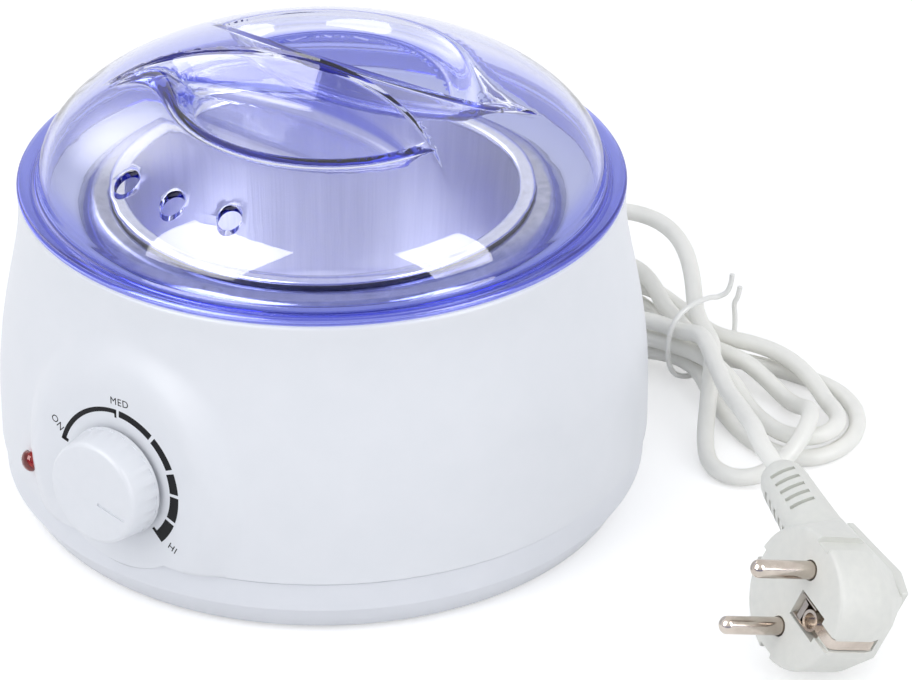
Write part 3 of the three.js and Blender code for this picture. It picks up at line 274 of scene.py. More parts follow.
def catmull(points, spacing):
    """Even points along a centripetal Catmull-Rom line."""
    p = [Vector(point) for point in points]
    p = [p[0] * 2 - p[1]] + p + [p[-1] * 2 - p[-2]]
    dense = []
    for a, b, c, d in zip(p, p[1:], p[2:], p[3:]):
        ta = 0.0
        tb = ta + math.sqrt((b - a).length)
        tc = tb + math.sqrt((c - b).length)
        td = tc + math.sqrt((d - c).length)
        count = max(2, int((c - b).length / spacing * 2))
        for i in range(count):
            t = tb + (tc - tb) * i / count
            ab = a.lerp(b, (t - ta) / (tb - ta))
            bc = b.lerp(c, (t - tb) / (tc - tb))
            cd = c.lerp(d, (t - tc) / (td - tc))
            first = ab.lerp(bc, (t - ta) / (tc - ta))
            second = bc.lerp(cd, (t - tb) / (td - tb))
            dense.append(first.lerp(second, (t - tb) / (tc - tb)))
    dense.append(p[-2])
    travel = [0.0]
    for a, b in zip(dense, dense[1:]):
        travel.append(travel[-1] + (b - a).length)
    count = max(2, round(travel[-1] / spacing))
    even, k = [], 0
    for i in range(count + 1):
        want = travel[-1] * i / count
        while k < len(dense) - 2 and travel[k + 1] < want:
            k += 1
        share = (want - travel[k]) / max(1e-9, travel[k + 1] - travel[k])
        even.append(dense[k].lerp(dense[k + 1], min(1, share)))
    return even


def eased(points, passes):
    """The same line with its sharpest turns eased, its ends kept."""
    for _ in range(passes):
        inner = [a / 4 + b / 2 + c / 4 for a, b, c in zip(points, points[1:], points[2:])]
        points = [points[0]] + inner + [points[-1]]
    return points


def wire_piece(name, points, radius, finish, roundness=4):
    """Round wire along points, all in metres, as a curve of one open spline."""
    curve = bpy.data.curves.new(name, "CURVE")
    curve.dimensions = "3D"
    curve.bevel_depth = radius
    curve.bevel_resolution = roundness
    curve.use_fill_caps = True
    spline = curve.splines.new("POLY")
    spline.points.add(len(points) - 1)
    for place, point in zip(spline.points, points):
        place.co = (*point, 1)
    spline.use_smooth = True
    curve.materials.append(finish)
    return new_object(name, curve)


# Helpers for forms grown by geometry nodes
def form_tree(name, sizes):
    """Geometry node tree with one named number input for each size."""
    tree = bpy.data.node_groups.new(name, "GeometryNodeTree")
    for label, value in sizes.items():
        kind = "NodeSocketInt" if isinstance(value, int) else "NodeSocketFloat"
        tree.interface.new_socket(label, in_out="INPUT", socket_type=kind)
    tree.interface.new_socket("Form", in_out="OUTPUT", socket_type="NodeSocketGeometry")
    return tree, node(tree, "NodeGroupInput").outputs


def grown(name, tree, instances, sizes, finish, place):
    """Plain mesh of a tree that ends in these instances, with its sizes set, moved to its place in mm."""
    real = node(tree, "GeometryNodeRealizeInstances", {"Geometry": instances})
    done = node(tree, "GeometryNodeSetMaterial", {"Geometry": real, "Material": finish})
    node(tree, "NodeGroupOutput", {"Form": done})
    made = new_object(name, bpy.data.meshes.new(name))
    growing = made.modifiers.new("form", "NODES")
    growing.node_group = tree
    for item in tree.interface.items_tree:
        if item.in_out == "INPUT":
            growing[item.identifier] = sizes[item.name]
    settle(made)
    made.data.transform(Matrix.Scale(MM, 4) @ place)
    return made


# Materials
def moulded_plastic(name, low, high, roughness, grain_mm=9, ripple=0.012):
    """Moulded plastic: even colour with a faint mottle and a slow surface ripple."""
    made, tree, shader = material(name)
    mottle = noise(tree, grain_mm, 3)
    set_on(shader, tree, Base_Color=tinted(tree, mottle, low, high), IOR=1.5, Specular_IOR_Level=0.35,
           Roughness=between(tree, mottle, roughness - 0.02, roughness + 0.03),
           Normal=bumped(tree, noise(tree, 14, 1), ripple))
    return made


# Gloss ABS of the housing: cool white, polished tool, with highlights softened by moulding ripple
housing_white = moulded_plastic("gloss white ABS", 0xE1E4E9, 0xE6E8ED, 0.36)
# Base moulding: the same plastic
base_white = moulded_plastic("gloss white ABS base", 0xE0E3E9, 0xE5E7ED, 0.38)
# Knob: the same plastic from a finer textured tool
knob_white = moulded_plastic("satin white ABS knob", 0xE2E5EA, 0xE7E9EE, 0.36, grain_mm=3)
# Soft PVC of the cord sheath: warm white with a satin skin and faint drawing lines
cord_white = moulded_plastic("satin PVC cord sheath", 0xF0F0EA, 0xFAF9F4, 0.4, grain_mm=5, ripple=0.05)
# Moulded-on PVC of the plug: greyer than its cord, dusty satin with a fine spark-eroded grain
plug_white = moulded_plastic("satin PVC plug", 0xDADBD6, 0xE5E5DF, 0.42, grain_mm=2.5, ripple=0.03)
# Thin coat of the tie wire: white plastic, glossier than the cord
tie_plastic = moulded_plastic("plastic-coated tie wire", 0xEDEDEA, 0xF6F6F3, 0.28, grain_mm=2)


def dark_print():
    """Pad-printed ink: matt near black with the uneven edge tone of thin ink."""
    made, tree, shader = material("pad-printed black ink")
    set_on(shader, tree, Base_Color=tinted(tree, noise(tree, 1.2), 0x0E0E11, 0x1C1C20), Roughness=0.6,
           Specular_IOR_Level=0.2)
    return made


def brushed_aluminium():
    """Spun and brushed aluminium: fine lines up the wall stretch the highlights sideways."""
    made, tree, shader = material("brushed aluminium pot")
    rim_radius = 54.0
    place = node(tree, "ShaderNodeTexCoord").outputs["Object"]
    split = node(tree, "ShaderNodeSeparateXYZ", {"Vector": place}).outputs
    turn = node(tree, "ShaderNodeMath", {0: split[1], 1: split[0]}, operation="ARCTAN2")
    around = node(tree, "ShaderNodeMath", {0: turn, 1: rim_radius}, operation="MULTIPLY")
    # millimetres round the rim, metres up the wall
    wall = node(tree, "ShaderNodeCombineXYZ", {"X": around, "Y": split[2]})
    # brush marks 0.6 mm wide and 33 mm long, drawn coarser than real so that they show
    fine = node(tree, "ShaderNodeMapping", {"Vector": wall, "Scale": (1.6, 30.0, 1.0)})
    brush = node(tree, "ShaderNodeTexNoise", {"Vector": fine, "Scale": 1.0, "Detail": 6.0}).outputs["Fac"]
    # broad bands of them, 4.5 mm wide and 110 mm long
    broad = node(tree, "ShaderNodeMapping", {"Vector": wall, "Scale": (0.22, 9.0, 1.0)})
    bands = node(tree, "ShaderNodeTexNoise", {"Vector": broad, "Scale": 1.0, "Detail": 2.0}).outputs["Fac"]
    both = node(tree, "ShaderNodeMath", {0: brush, 1: bands}, operation="ADD")
    tone = node(tree, "ShaderNodeMath", {0: both, 1: 0.5}, operation="MULTIPLY")
    set_on(shader, tree, Metallic=1.0, Base_Color=tinted(tree, tone, 0xD0D2DC, 0xFCFCFF),
           Roughness=between(tree, brush, 0.24, 0.42), Normal=bumped(tree, brush, 0.05))
    return made


def polished_metal(name, first, second, roughness, mark_mm=3.0):
    """Plain bright metal with slight handling marks."""
    made, tree, shader = material(name)
    marks = noise(tree, mark_mm, 4)
    set_on(shader, tree, Metallic=1.0, Base_Color=tinted(tree, marks, first, second),
           Roughness=between(tree, marks, roughness - 0.05, roughness + 0.08))
    return made


def clear_plastic(name, roughness, density, deep, deepest, painted_shade_tint=0xFFFFFF):
    """Clear moulding: pale across a wall, deep where light runs along it, partly as painted shade: a deeper
    tint painted on steep walls and on the rim.

    Lamps and the light on what stands behind pass straight through, as through any thin clear wall.
    """
    made, tree, shader = material(name)
    place = node(tree, "ShaderNodeTexCoord").outputs
    facing = node(tree, "ShaderNodeSeparateXYZ", {"Vector": place["Normal"]})
    upward = node(tree, "ShaderNodeMath", {0: facing.outputs[2]}, operation="ABSOLUTE")
    # painted shade: steep walls get a deeper tint, standing in for light from above that crosses a wall along
    # its height
    steep = node(tree, "ShaderNodeMapRange", {"Value": upward, "From Min": 0.62, "From Max": 0.25,
                                              "To Max": 0.75}, interpolation_type="SMOOTHSTEP")
    # painted shade: the rim of the lid, its thickest part, and all below it get the full deeper tint; lower
    # pieces have no tint of their own
    height = node(tree, "ShaderNodeSeparateXYZ", {"Vector": place["Object"]}).outputs[2]
    rim = node(tree, "ShaderNodeMapRange", {"Value": height, "From Min": 96 * MM, "From Max": 93 * MM})
    painted_deep_shade = node(tree, "ShaderNodeMath", {0: steep, 1: rim}, operation="MAXIMUM")
    # painted shade: the base colour turns to the deeper tint on steep walls and on the rim
    set_on(shader, tree, Base_Color=tinted(tree, painted_deep_shade, 0xFCFCFF, painted_shade_tint), Transmission_Weight=1.0,
           IOR=1.55, Roughness=roughness, Normal=bumped(tree, noise(tree, 22, 1), 0.02))
    path = node(tree, "ShaderNodeLightPath").outputs
    trapped = node(tree, "ShaderNodeMath", {0: path["Glossy Depth"], 1: 3.5}, operation="GREATER_THAN")
    spent = node(tree, "ShaderNodeMath", {0: path["Ray Depth"], 1: 8.5}, operation="GREATER_THAN")
    # light caught in the wall is let out in its deepest colour, so that an edge isn't black
    caught = node(tree, "ShaderNodeMath", {0: trapped, 1: spent}, operation="MAXIMUM")
    soft = node(tree, "ShaderNodeMath", {0: path["Is Shadow Ray"], 1: path["Is Diffuse Ray"]},
                operation="MAXIMUM")
    straight = node(tree, "ShaderNodeMath", {0: soft, 1: caught}, operation="MAXIMUM")
    through = node(tree, "ShaderNodeBsdfTransparent", {"Color": tinted(tree, caught, 0xF2F3FE, deepest)})
    mixed = node(tree, "ShaderNodeMixShader", {0: straight, 1: shader, 2: through})
    body = node(tree, "ShaderNodeVolumeAbsorption", {"Color": linear(deep), "Density": density})
    out = next(n for n in tree.nodes if n.type == "OUTPUT_MATERIAL")
    give(tree, out.inputs["Surface"], mixed)
    give(tree, out.inputs["Volume"], body)
    return made


aluminium = brushed_aluminium()
bright_rim = polished_metal("rolled aluminium rim", 0xD9DAE0, 0xF3F4F8, 0.16)
well_metal = polished_metal("drawn aluminium well", 0x9A9CA8, 0xC9CBD6, 0.12)
nickel = polished_metal("nickel-plated brass pins", 0xA89C92, 0xDCD3C9, 0.17, 5.0)
# the lid's last colour is its painted shade tint for steep walls and the rim
lid_violet = clear_plastic("clear violet polystyrene", 0.02, 52.0, 0x6183E4, 0x9094E6, 0xAAB0F6)
lens_red = clear_plastic("red polycarbonate lens", 0.04, 2500.0, 0xF41822, 0xC01018)
ink = dark_print()

# Finishes of the CAD pieces, by their slot in the record
finishes = {
    "steel": polished_metal("plated steel", 0x9C9EA3, 0xC4C6CB, 0.32),
    "aluminium": aluminium, "nickel": nickel, "white_gloss": base_white, "white_plastic": plug_white,
    "cord_plastic": cord_white, "tie_plastic": tie_plastic, "violet_clear": lid_violet, "red_lens": lens_red,
    "dark_phenolic": moulded_plastic("dark phenolic moulding", 0x2A2320, 0x3A302A, 0.5, grain_mm=2),
    "nylon": moulded_plastic("natural nylon", 0xDEDCD0, 0xEAE8DE, 0.45, grain_mm=4),
    "mica": moulded_plastic("pressed mica sheet", 0x9C8E70, 0xC2B494, 0.6, grain_mm=1.5, ripple=0.1),
    "brass": polished_metal("turned brass", 0xA9873F, 0xCBA75C, 0.3),
    "clear_glass": clear_plastic("glass of the neon lamp", 0.02, 1.0, 0xFFE0C0, 0xFFE0C0),
    "rubber": moulded_plastic("black rubber foot", 0x1B1C1E, 0x2A2B2E, 0.75, grain_mm=1),
    "brown_plastic": moulded_plastic("brown wire sheath", 0x6E3A20, 0x8A4B2A, 0.45, grain_mm=3),
    "blue_plastic": moulded_plastic("blue wire sheath", 0x274A96, 0x3560B5, 0.45, grain_mm=3),
    "green_plastic": moulded_plastic("green and yellow wire sheath", 0x4F8F2F, 0xC9C43A, 0.45, grain_mm=4),
}
slots = {part["node"]: part["material_slot"] for part in frame["record"]["subparts"]}
for name, piece in frame["nodes"].items():
    piece.data.materials.clear()
    piece.data.materials.append(finishes[slots[name]])


# Camera
camera = new_object("camera", bpy.data.cameras.new("camera"))
camera.data.sensor_width, camera.data.lens = 36, 157.98
camera.data.clip_start, camera.data.clip_end = 0.05, 20
right, up = Vector((0.809453, 0.587166, 0.004723)), Vector((-0.296305, 0.401509, 0.866599))
aim = Matrix((right, up, right.cross(up))).transposed().to_4x4()
camera.matrix_world = shifted(0.59182, -0.75831, 0.59358) @ aim
bpy.context.scene.camera = camera


# Mains cord and its tie
# Route in mm, as in part.mjs: exit, lead over the tie, three loops each side of the tie, then to the plug
cord_route = [
    (0.0, 106.0, 30.0), (0.7, 112.0, 30.0), (2.7, 117.6, 30.0), (6.0, 122.5, 30.0), (10.6, 126.3, 30.0),
    (16.0, 128.7, 30.0), (21.9, 129.6, 29.9), (27.7, 129.0, 29.5), (33.2, 127.0, 28.7),
    (38.1, 124.1, 27.4), (42.5, 120.4, 25.7), (46.4, 116.3, 23.8), (50.0, 111.9, 21.7),
    (53.5, 107.3, 19.7), (57.7, 103.5, 17.8), (62.7, 100.4, 16.2), (66.8, 96.2, 16.6), (70.0, 91.1, 15.3),
    (72.9, 85.9, 12.5), (75.7, 80.6, 8.3), (78.6, 75.4, 5.9), (81.6, 70.2, 4.3), (85.0, 65.3, 3.1),
    (89.0, 60.9, 2.6), (93.9, 58.0, 2.6), (99.5, 57.6, 2.9), (104.7, 59.9, 3.9), (108.5, 64.2, 6.5),
    (110.4, 69.6, 9.4), (110.4, 75.4, 12.0), (108.8, 81.1, 13.2), (106.2, 86.5, 12.6), (102.7, 91.3, 10.3),
    (98.6, 95.6, 7.1), (94.0, 99.3, 4.4), (88.8, 102.3, 3.1), (83.3, 104.4, 4.3), (77.4, 105.6, 6.4),
    (71.5, 105.8, 8.6), (65.5, 105.0, 9.4), (58.4, 104.8, 10.3), (51.4, 107.3, 10.5), (46.1, 110.9, 10.3),
    (41.2, 114.4, 9.6), (36.1, 117.8, 9.6), (31.0, 120.9, 11.9), (25.6, 123.6, 13.7), (19.9, 125.5, 14.1),
    (14.1, 125.9, 13.1), (9.0, 123.8, 10.7), (5.7, 119.1, 7.8), (4.7, 113.5, 5.1), (6.0, 107.9, 4.9),
    (9.7, 103.5, 6.2), (14.8, 100.6, 7.2), (20.5, 98.8, 7.8), (26.5, 97.8, 8.2), (32.5, 97.5, 8.8),
    (38.6, 97.5, 9.5), (44.6, 98.0, 10.3), (51.4, 98.2, 10.6), (59.5, 97.5, 11.1), (66.3, 96.5, 10.8),
    (72.2, 95.0, 9.4), (77.8, 92.8, 7.4), (83.1, 90.1, 4.9), (88.3, 86.9, 4.8), (93.3, 83.6, 5.9),
    (98.6, 80.8, 6.6), (104.2, 80.0, 7.1), (109.1, 82.3, 7.5), (111.8, 87.0, 7.6), (111.4, 92.6, 7.3),
    (108.6, 97.8, 6.5), (104.7, 102.3, 5.3), (100.0, 106.1, 4.3), (95.0, 109.3, 5.7), (89.5, 111.9, 7.3),
    (83.8, 113.7, 8.5), (77.9, 114.6, 9.2), (71.9, 114.2, 9.7), (66.2, 112.4, 10.3), (59.7, 111.1, 10.3),
    (53.1, 113.2, 10.0), (47.9, 116.8, 9.3), (43.0, 120.2, 8.1), (37.8, 123.2, 6.9), (32.3, 125.4, 7.1),
    (26.6, 126.3, 8.0), (21.0, 125.2, 8.4), (16.7, 121.6, 7.8), (14.2, 116.4, 6.5), (13.7, 110.7, 4.8),
    (15.8, 105.5, 3.4), (20.2, 102.0, 2.7), (25.7, 100.1, 2.8), (31.6, 99.4, 3.1), (37.6, 99.5, 3.7),
    (43.5, 100.1, 4.7), (49.8, 100.8, 5.4), (57.2, 99.7, 5.4), (63.4, 96.3, 5.2), (68.2, 92.5, 4.3),
    (73.0, 88.9, 3.5), (77.9, 85.5, 3.0), (83.0, 82.4, 2.7), (88.4, 79.6, 2.6), (93.9, 77.4, 2.6),
    (99.7, 76.1, 2.6), (105.5, 76.4, 2.6), (110.5, 79.1, 2.6), (113.7, 83.8, 2.6), (115.0, 89.5, 2.6),
    (114.8, 95.4, 2.6), (113.2, 101.1, 2.6), (110.3, 106.3, 2.6), (106.4, 110.7, 2.6), (101.5, 114.0, 2.6),
    (96.0, 116.1, 2.6), (90.1, 116.9, 2.6), (84.2, 116.5, 2.8), (78.3, 115.2, 3.3), (72.8, 113.1, 4.0),
    (67.4, 110.4, 4.9), (61.4, 108.2, 5.4), (54.1, 109.0, 5.4), (48.2, 112.0, 5.0), (43.1, 115.1, 4.0),
    (37.9, 118.0, 3.3), (32.5, 120.8, 2.9), (27.1, 123.3, 2.6), (21.5, 125.4, 2.6), (15.8, 126.9, 2.6),
    (9.9, 127.5, 2.6), (4.1, 126.6, 2.6), (-0.6, 123.6, 2.6), (-3.7, 118.7, 2.8), (-4.7, 113.1, 3.9),
    (-3.4, 107.5, 5.8), (0.2, 103.1, 8.1), (5.3, 100.2, 10.3), (10.9, 98.4, 11.9), (16.8, 97.4, 12.9),
    (22.8, 96.9, 13.6), (28.7, 96.9, 14.2), (34.7, 97.1, 14.8), (40.7, 97.5, 15.7), (47.0, 98.0, 16.2),
    (55.7, 96.8, 16.8), (64.9, 92.7, 21.0), (70.2, 88.4, 20.7), (74.7, 84.5, 19.6), (79.4, 80.7, 18.1),
    (83.9, 76.9, 16.8), (88.3, 72.8, 17.8), (92.5, 68.7, 19.1), (96.7, 64.5, 20.6), (100.7, 60.2, 22.1),
    (104.5, 55.9, 24.0), (108.3, 51.5, 26.0), (112.0, 47.1, 27.4), (115.8, 42.9, 27.9),
    (120.2, 39.1, 27.9), (125.1, 35.8, 27.6), (126.7, 34.7, 27.3),
]
CORD_RADIUS, TIE_RADIUS = 2.5, 0.8
cord_line = [point * MM for point in eased(catmull(cord_route, 1.6), 5)]
cord = wire_piece("mains_cord", cord_line, CORD_RADIUS * MM, cord_white, 5)
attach(cord, "housing")
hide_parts("cord_lead", "cord_hank", "cord_tail")

tie_route = [
    (61.8, 113.6, 30.5), (61.6, 113.4, 27.5), (60.8, 112.4, 24.6), (58.8, 110.7, 23.2),
    (58.3, 108.3, 24.0), (57.5, 105.2, 24.3), (56.4, 100.9, 24.2), (55.8, 98.2, 23.6), (55.3, 96.1, 22.7),
    (55.0, 94.3, 21.3), (54.7, 93.1, 19.5), (54.6, 92.2, 17.3), (54.5, 91.8, 14.5), (54.6, 91.8, 10.3),
    (54.9, 92.2, 7.6), (55.2, 93.1, 5.5), (55.6, 94.4, 3.8), (56.2, 96.2, 2.5), (56.9, 98.4, 1.6),
    (57.7, 101.1, 1.2), (59.0, 105.5, 1.1), (59.8, 108.4, 1.5), (60.5, 110.7, 2.3), (61.1, 112.5, 3.5),
    (61.6, 113.9, 5.2), (61.9, 114.9, 7.2), (62.2, 115.4, 9.7), (62.3, 115.5, 13.8), (62.3, 115.2, 16.9),
    (62.3, 114.8, 19.2), (62.6, 114.3, 21.0), (63.4, 114.5, 23.0), (63.9, 114.8, 26.5),
]
tie_line = [point * MM for point in catmull(tie_route, TIE_RADIUS)]
tie = wire_piece("hank_tie", tie_line, TIE_RADIUS * MM, tie_plastic)
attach(tie, "housing")
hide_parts("twist_tie")


# Housing
RADIUS, NARROWING, BEND_START, BEND_HEIGHT, WALL = 90, 7.6, 20, 66, 2.2
SEAM, TOP, RIM_ROUND, SEAM_ROUND = 18, 90.8, 1.2, 0.25
DIAL_AWAY, DIAL_HEIGHT, DIAL_TILT = 88.4, 39.13, 2.58 * DEGREE
BOSS_FLAT, BOSS_FADE, BOSS_RADIUS = 26, 40, 25.9
DIAL = shifted(0, -DIAL_AWAY, DIAL_HEIGHT) @ Matrix.Rotation(math.pi / 2 - DIAL_TILT, 4, "X")


def shell_radius(height):
    share = min(1, max(0, (height - BEND_START) / BEND_HEIGHT))
    return RADIUS - NARROWING * smooth(share ** 1.5)


def wall_radius(angle, height):
    """Radius of the outer wall, with the flat dial boss blended in. Angle 0 faces the dial."""
    plain = shell_radius(height)
    side = math.atan2(math.sin(angle), math.cos(angle))
    if abs(side) > math.pi / 4:
        return plain
    plane = (DIAL_AWAY - (height - DIAL_HEIGHT) * math.tan(DIAL_TILT)) / math.cos(side)
    away = math.hypot(plane * math.sin(side), (height - DIAL_HEIGHT) / math.cos(DIAL_TILT))
    return plain + (plane - plain) * (1 - smooth((away - BOSS_FLAT) / (BOSS_FADE - BOSS_FLAT)))


def seam_height(angle):
    """Lower edge of the upper housing: the seam, with the round tongue of the boss below it."""
    side = math.atan2(math.sin(angle), math.cos(angle))
    across = DIAL_AWAY * math.tan(side) if abs(side) < math.pi / 4 else RADIUS
    if abs(across) >= BOSS_RADIUS:
        return SEAM
    return min(SEAM, DIAL_HEIGHT - math.sqrt(BOSS_RADIUS ** 2 - across ** 2) * math.cos(DIAL_TILT))


def make_housing():
    """Upper housing: outer wall in rows from the seam up, rounded rim, deck and inner wall."""
    columns, rows, inner_rows = 400, 64, 12
    shoulder, inner_top = TOP - RIM_ROUND, 82
    rim_radius = shell_radius(shoulder)
    rim = corner(rim_radius, shoulder, rim_radius - RIM_ROUND, TOP, 6, False)[1:]
    deck = [(79.2, TOP), (78.8, TOP - 0.2), (78.6, TOP - 0.6), (78.6, 84.4), (78.2, 84), (63, 84), (63, 80),
            (65, 80), (65, inner_top)]
    points, faces = [], []
    for i in range(columns):
        # columns crowd towards the dial, so that the tongue has a clean edge
        share = i / columns * 2 - 1
        angle = math.pi * (0.55 * share + 0.45 * share ** 3)
        low = seam_height(angle)
        foot = wall_radius(angle, low)
        outside = [(foot - SEAM_ROUND, low), (foot, low + SEAM_ROUND)]
        outside += [(wall_radius(angle, z), z)
                    for z in (low + (shoulder - low) * k / rows for k in range(1, rows + 1))]
        inside = [(min(shell_radius(z), wall_radius(angle, z)) - WALL, z)
                  for z in (inner_top + (low - inner_top) * k / inner_rows for k in range(inner_rows + 1))]
        points += [(r * math.sin(angle), -r * math.cos(angle), z) for r, z in outside + rim + deck + inside]
    ring = len(points) // columns
    for i in range(columns):
        j = (i + 1) % columns
        for k in range(ring):
            m = (k + 1) % ring
            faces.append((i * ring + k, j * ring + k, j * ring + m, i * ring + m))
    return mesh_piece("housing_upper", points, faces, housing_white, 40)


housing = make_housing()
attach(housing, "housing")
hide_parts("body_shell")


def make_base():
    """Lower housing: wall drawn in to the foot, lip inside the upper housing, recess under the boss."""
    profile = [(0, 1), (83, 1), (83.8, 1.2), (84.4, 1.8), (88.4, 9), (88.95, 9.25), (89, 9.9), (89.2, 17.4),
               (88.9, 17.7), (87.3, 17.7), (87.3, 21.2), (85.3, 21.2), (85.3, 14), (86.6, 12), (86.4, 10),
               (82.6, 3.5), (0, 3.5)]
    base = turned_piece("housing_base", profile, 256, base_white)
    recess = [(0, -2.5), (26.2, -2.5), (26.2, 8), (0, 8)]
    cut_away(base, turned_piece("recess", recess, 128, base_white, place=DIAL))
    return base


base = make_base()
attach(base, "housing")
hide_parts("base_cover")


# Well and pot
def make_well():
    """Heated well: cup, polished flange and skirt over the deck, stud underneath."""
    profile = [(0, 15), (2, 15), (2, 24)] + corner(50, 24, 56.2, 30.2, 8, True)
    profile += [(56.2, 85.6), (57.8, 86.8), (61.4, 86.8), (65.9, 84.35), (66.3, 84.35), (66.5, 84.6),
                (66.4, 84.9), (62.6, 87.5), (61.9, 87.85), (61, 87.95), (58.4, 87.95), (57.4, 87.8),
                (55.6, 86.6), (55, 85.6)]
    profile += corner(48.8, 25.2, 55, 31.4, 8, True)[::-1] + [(0, 25.2)]
    return turned_piece("heated_well", profile, 192, well_metal, 50)


def make_pot():
    """Lift-out pot: rolled rim bright, wall and bottom brushed."""
    rim_start = 87.5
    bead = [(54.1, 88), (54.6, 88.2), (56.4, 88.2), (57.2, 88.45), (57.65, 88.95), (57.65, 89.35),
            (57.2, 89.8), (56.4, 90), (54.6, 90), (53.6, 89.75), (53.15, 89.2), (53.1, 88.4)]
    outside, inside = corner(44.5, 27, 51.5, 34, 10, True), corner(43.5, 28, 50.5, 35, 10, True)
    pot = turned_piece("wax_pot", [(0, 27)] + outside + bead + inside[::-1] + [(0, 28)], 192, aluminium, 60)
    pot.data.materials.append(bright_rim)
    for face in pot.data.polygons:
        if face.center.z > rim_start * MM:
            face.material_index = 1
    return pot


well = make_well()
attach(well, "housing")
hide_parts("heater_well")
pot = make_pot()
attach(pot, "pot")
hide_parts("inner_pot")


# Dial, knob and lamp
def flute_cutters(place):
    """Round cutters in a ring for the grip flutes, fatter at the front, to cut evenly deep up the draft."""
    sizes = {"Flutes": 24, "Ring radius": 17.95, "Back radius": 3.25, "Front radius": 4.15, "Length": 13.0}
    tree, size = form_tree("grip flutes", sizes)
    ring = node(tree, "GeometryNodeMeshCircle", {"Vertices": size["Flutes"], "Radius": size["Ring radius"]})
    cutter = node(tree, "GeometryNodeMeshCone", {"Vertices": 72, "Depth": size["Length"],
                                                 "Radius Top": size["Front radius"],
                                                 "Radius Bottom": size["Back radius"]})
    placed = node(tree, "GeometryNodeInstanceOnPoints", {"Points": ring, "Instance": cutter})
    return grown("grip_flutes", tree, placed, sizes, knob_white, place)


def make_knob():
    """Turning knob: skirt fluted for grip, soft front edge, shallow pointer line on the face."""
    back, front, edge, flange = 1.3, 10.8, 1.5, 2.4
    profile = [(0, 9.7), (3.3, 9.7), (3.3, 1.6), (6, 1.6), (6, 9.4), (12.4, 9.4), (13.6, back), (14.9, back),
               (15.2, back + 0.3), (15.05, flange), (14.2, front - edge)]
    profile += corner(14.2, front - edge, 12.9, front, 8, False)[1:] + [(9, front + 0.02), (0, front + 0.04)]
    knob = turned_piece("knob", profile, 240, knob_white, 50, DIAL)
    # the flutes start in front of the back flange of the skirt
    cut_away(knob, flute_cutters(DIAL @ shifted(0, 0, flange)))
    start, end, half_width, depth = Vector((1.97, -2.37)), Vector((10.76, -4.24)), 0.45, 0.4
    middle, reach = (start + end) / 2, (end - start).length / 2
    turn = Matrix.Rotation(math.atan2(*(end - start).yx), 4, "Z")
    line = box_mesh((-reach, -half_width, front - depth), (reach, half_width, front + 2),
                    DIAL @ shifted(*middle, 0) @ turn)
    cut_away(knob, mesh_piece("pointer_cut", *line, knob_white))
    return knob


knob = make_knob()
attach(knob, "dial_knob")
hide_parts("knob")

# Print on the boss: arcs and ticks as first and last angle, and inner radius at each, then words
INK_SUNK, INK_LIFT, INK_OUTER, WORD_HEIGHT = 0.05, 0.03, 20.2, 2.9
dial_arcs = [(-74.8, -1.7, 18.75, 18.95), (0.8, 34, 18.3, 18.1), (37.1, 63.6, 18.0, 17.9),
             (67.1, 84.6, 17.5, 17.4), (87.3, 109.3, 17.4, 17.3), (112.4, 130.6, 17.1, 17.0),
             (-74.8, -71.6, 17.9, 17.9), (-3.8, -1.7, 17.8, 17.8), (130.6, 134, 15.8, 15.8)]
dial_words = [("ON", -43.5, -20.86, 9.4), ("MED", 2.8, 0.43, 22.56), ("HI", -27.6, 18.17, -14.62)]


def dial_arc(first, last, inner_first, inner_last):
    steps = max(2, int((last - first) / 2))
    points = []
    for share in (i / steps for i in range(steps + 1)):
        angle = (first + (last - first) * share) * DEGREE
        for radius in (inner_first + (inner_last - inner_first) * share, INK_OUTER):
            points += [(radius * math.sin(angle), radius * math.cos(angle), z) for z in (-INK_SUNK, INK_LIFT)]
    return points, bar_faces(steps + 1)


def dial_word(word, degrees, x, y):
    text = bpy.data.curves.new("word", "FONT")
    text.body, text.size, text.align_x, text.align_y = word, WORD_HEIGHT, "CENTER", "CENTER"
    text.extrude, text.space_character = 0.04, 1.12
    holder = new_object("word", text)
    letters = plain_mesh(holder)
    bpy.data.objects.remove(holder)
    letters.transform(Matrix.Scale(MM, 4) @ DIAL @ shifted(x, y, 0) @ turned_by(degrees, "Z"))
    letters.materials.clear()
    letters.materials.append(ink)
    return new_object("dial_word_" + word, letters)


points, faces = gathered([dial_arc(*arc) for arc in dial_arcs])
marks = mesh_piece("dial_marks", moved(points, DIAL), faces, ink)
for piece in [marks] + [dial_word(*word) for word in dial_words]:
    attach(piece, "housing")

LAMP_TURN, LAMP_HEIGHT, LAMP_PROUD = -22.76, 29.4, 0.7


def make_lamp():
    """Pilot lamp lens: low dome outside the wall, hollow stem through it."""
    profile = [(0, 2.3), (1, 2.2), (1.9, 1.85), (2.6, 1.25), (2.95, 0.6), (3.0, 0.2), (2.4, 0.2), (2.4, -9),
               (1.7, -9), (1.7, -0.8), (1.2, -0.4), (0, -0.3)]
    away = wall_radius(LAMP_TURN * DEGREE, LAMP_HEIGHT) + LAMP_PROUD
    place = turned_by(LAMP_TURN, "Z") @ shifted(0, -away, LAMP_HEIGHT) @ turned_by(90, "X")
    return turned_piece("pilot_lens", profile, 48, lens_red, 45, place)


lens = make_lamp()
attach(lens, "housing")
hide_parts("lamp_lens")


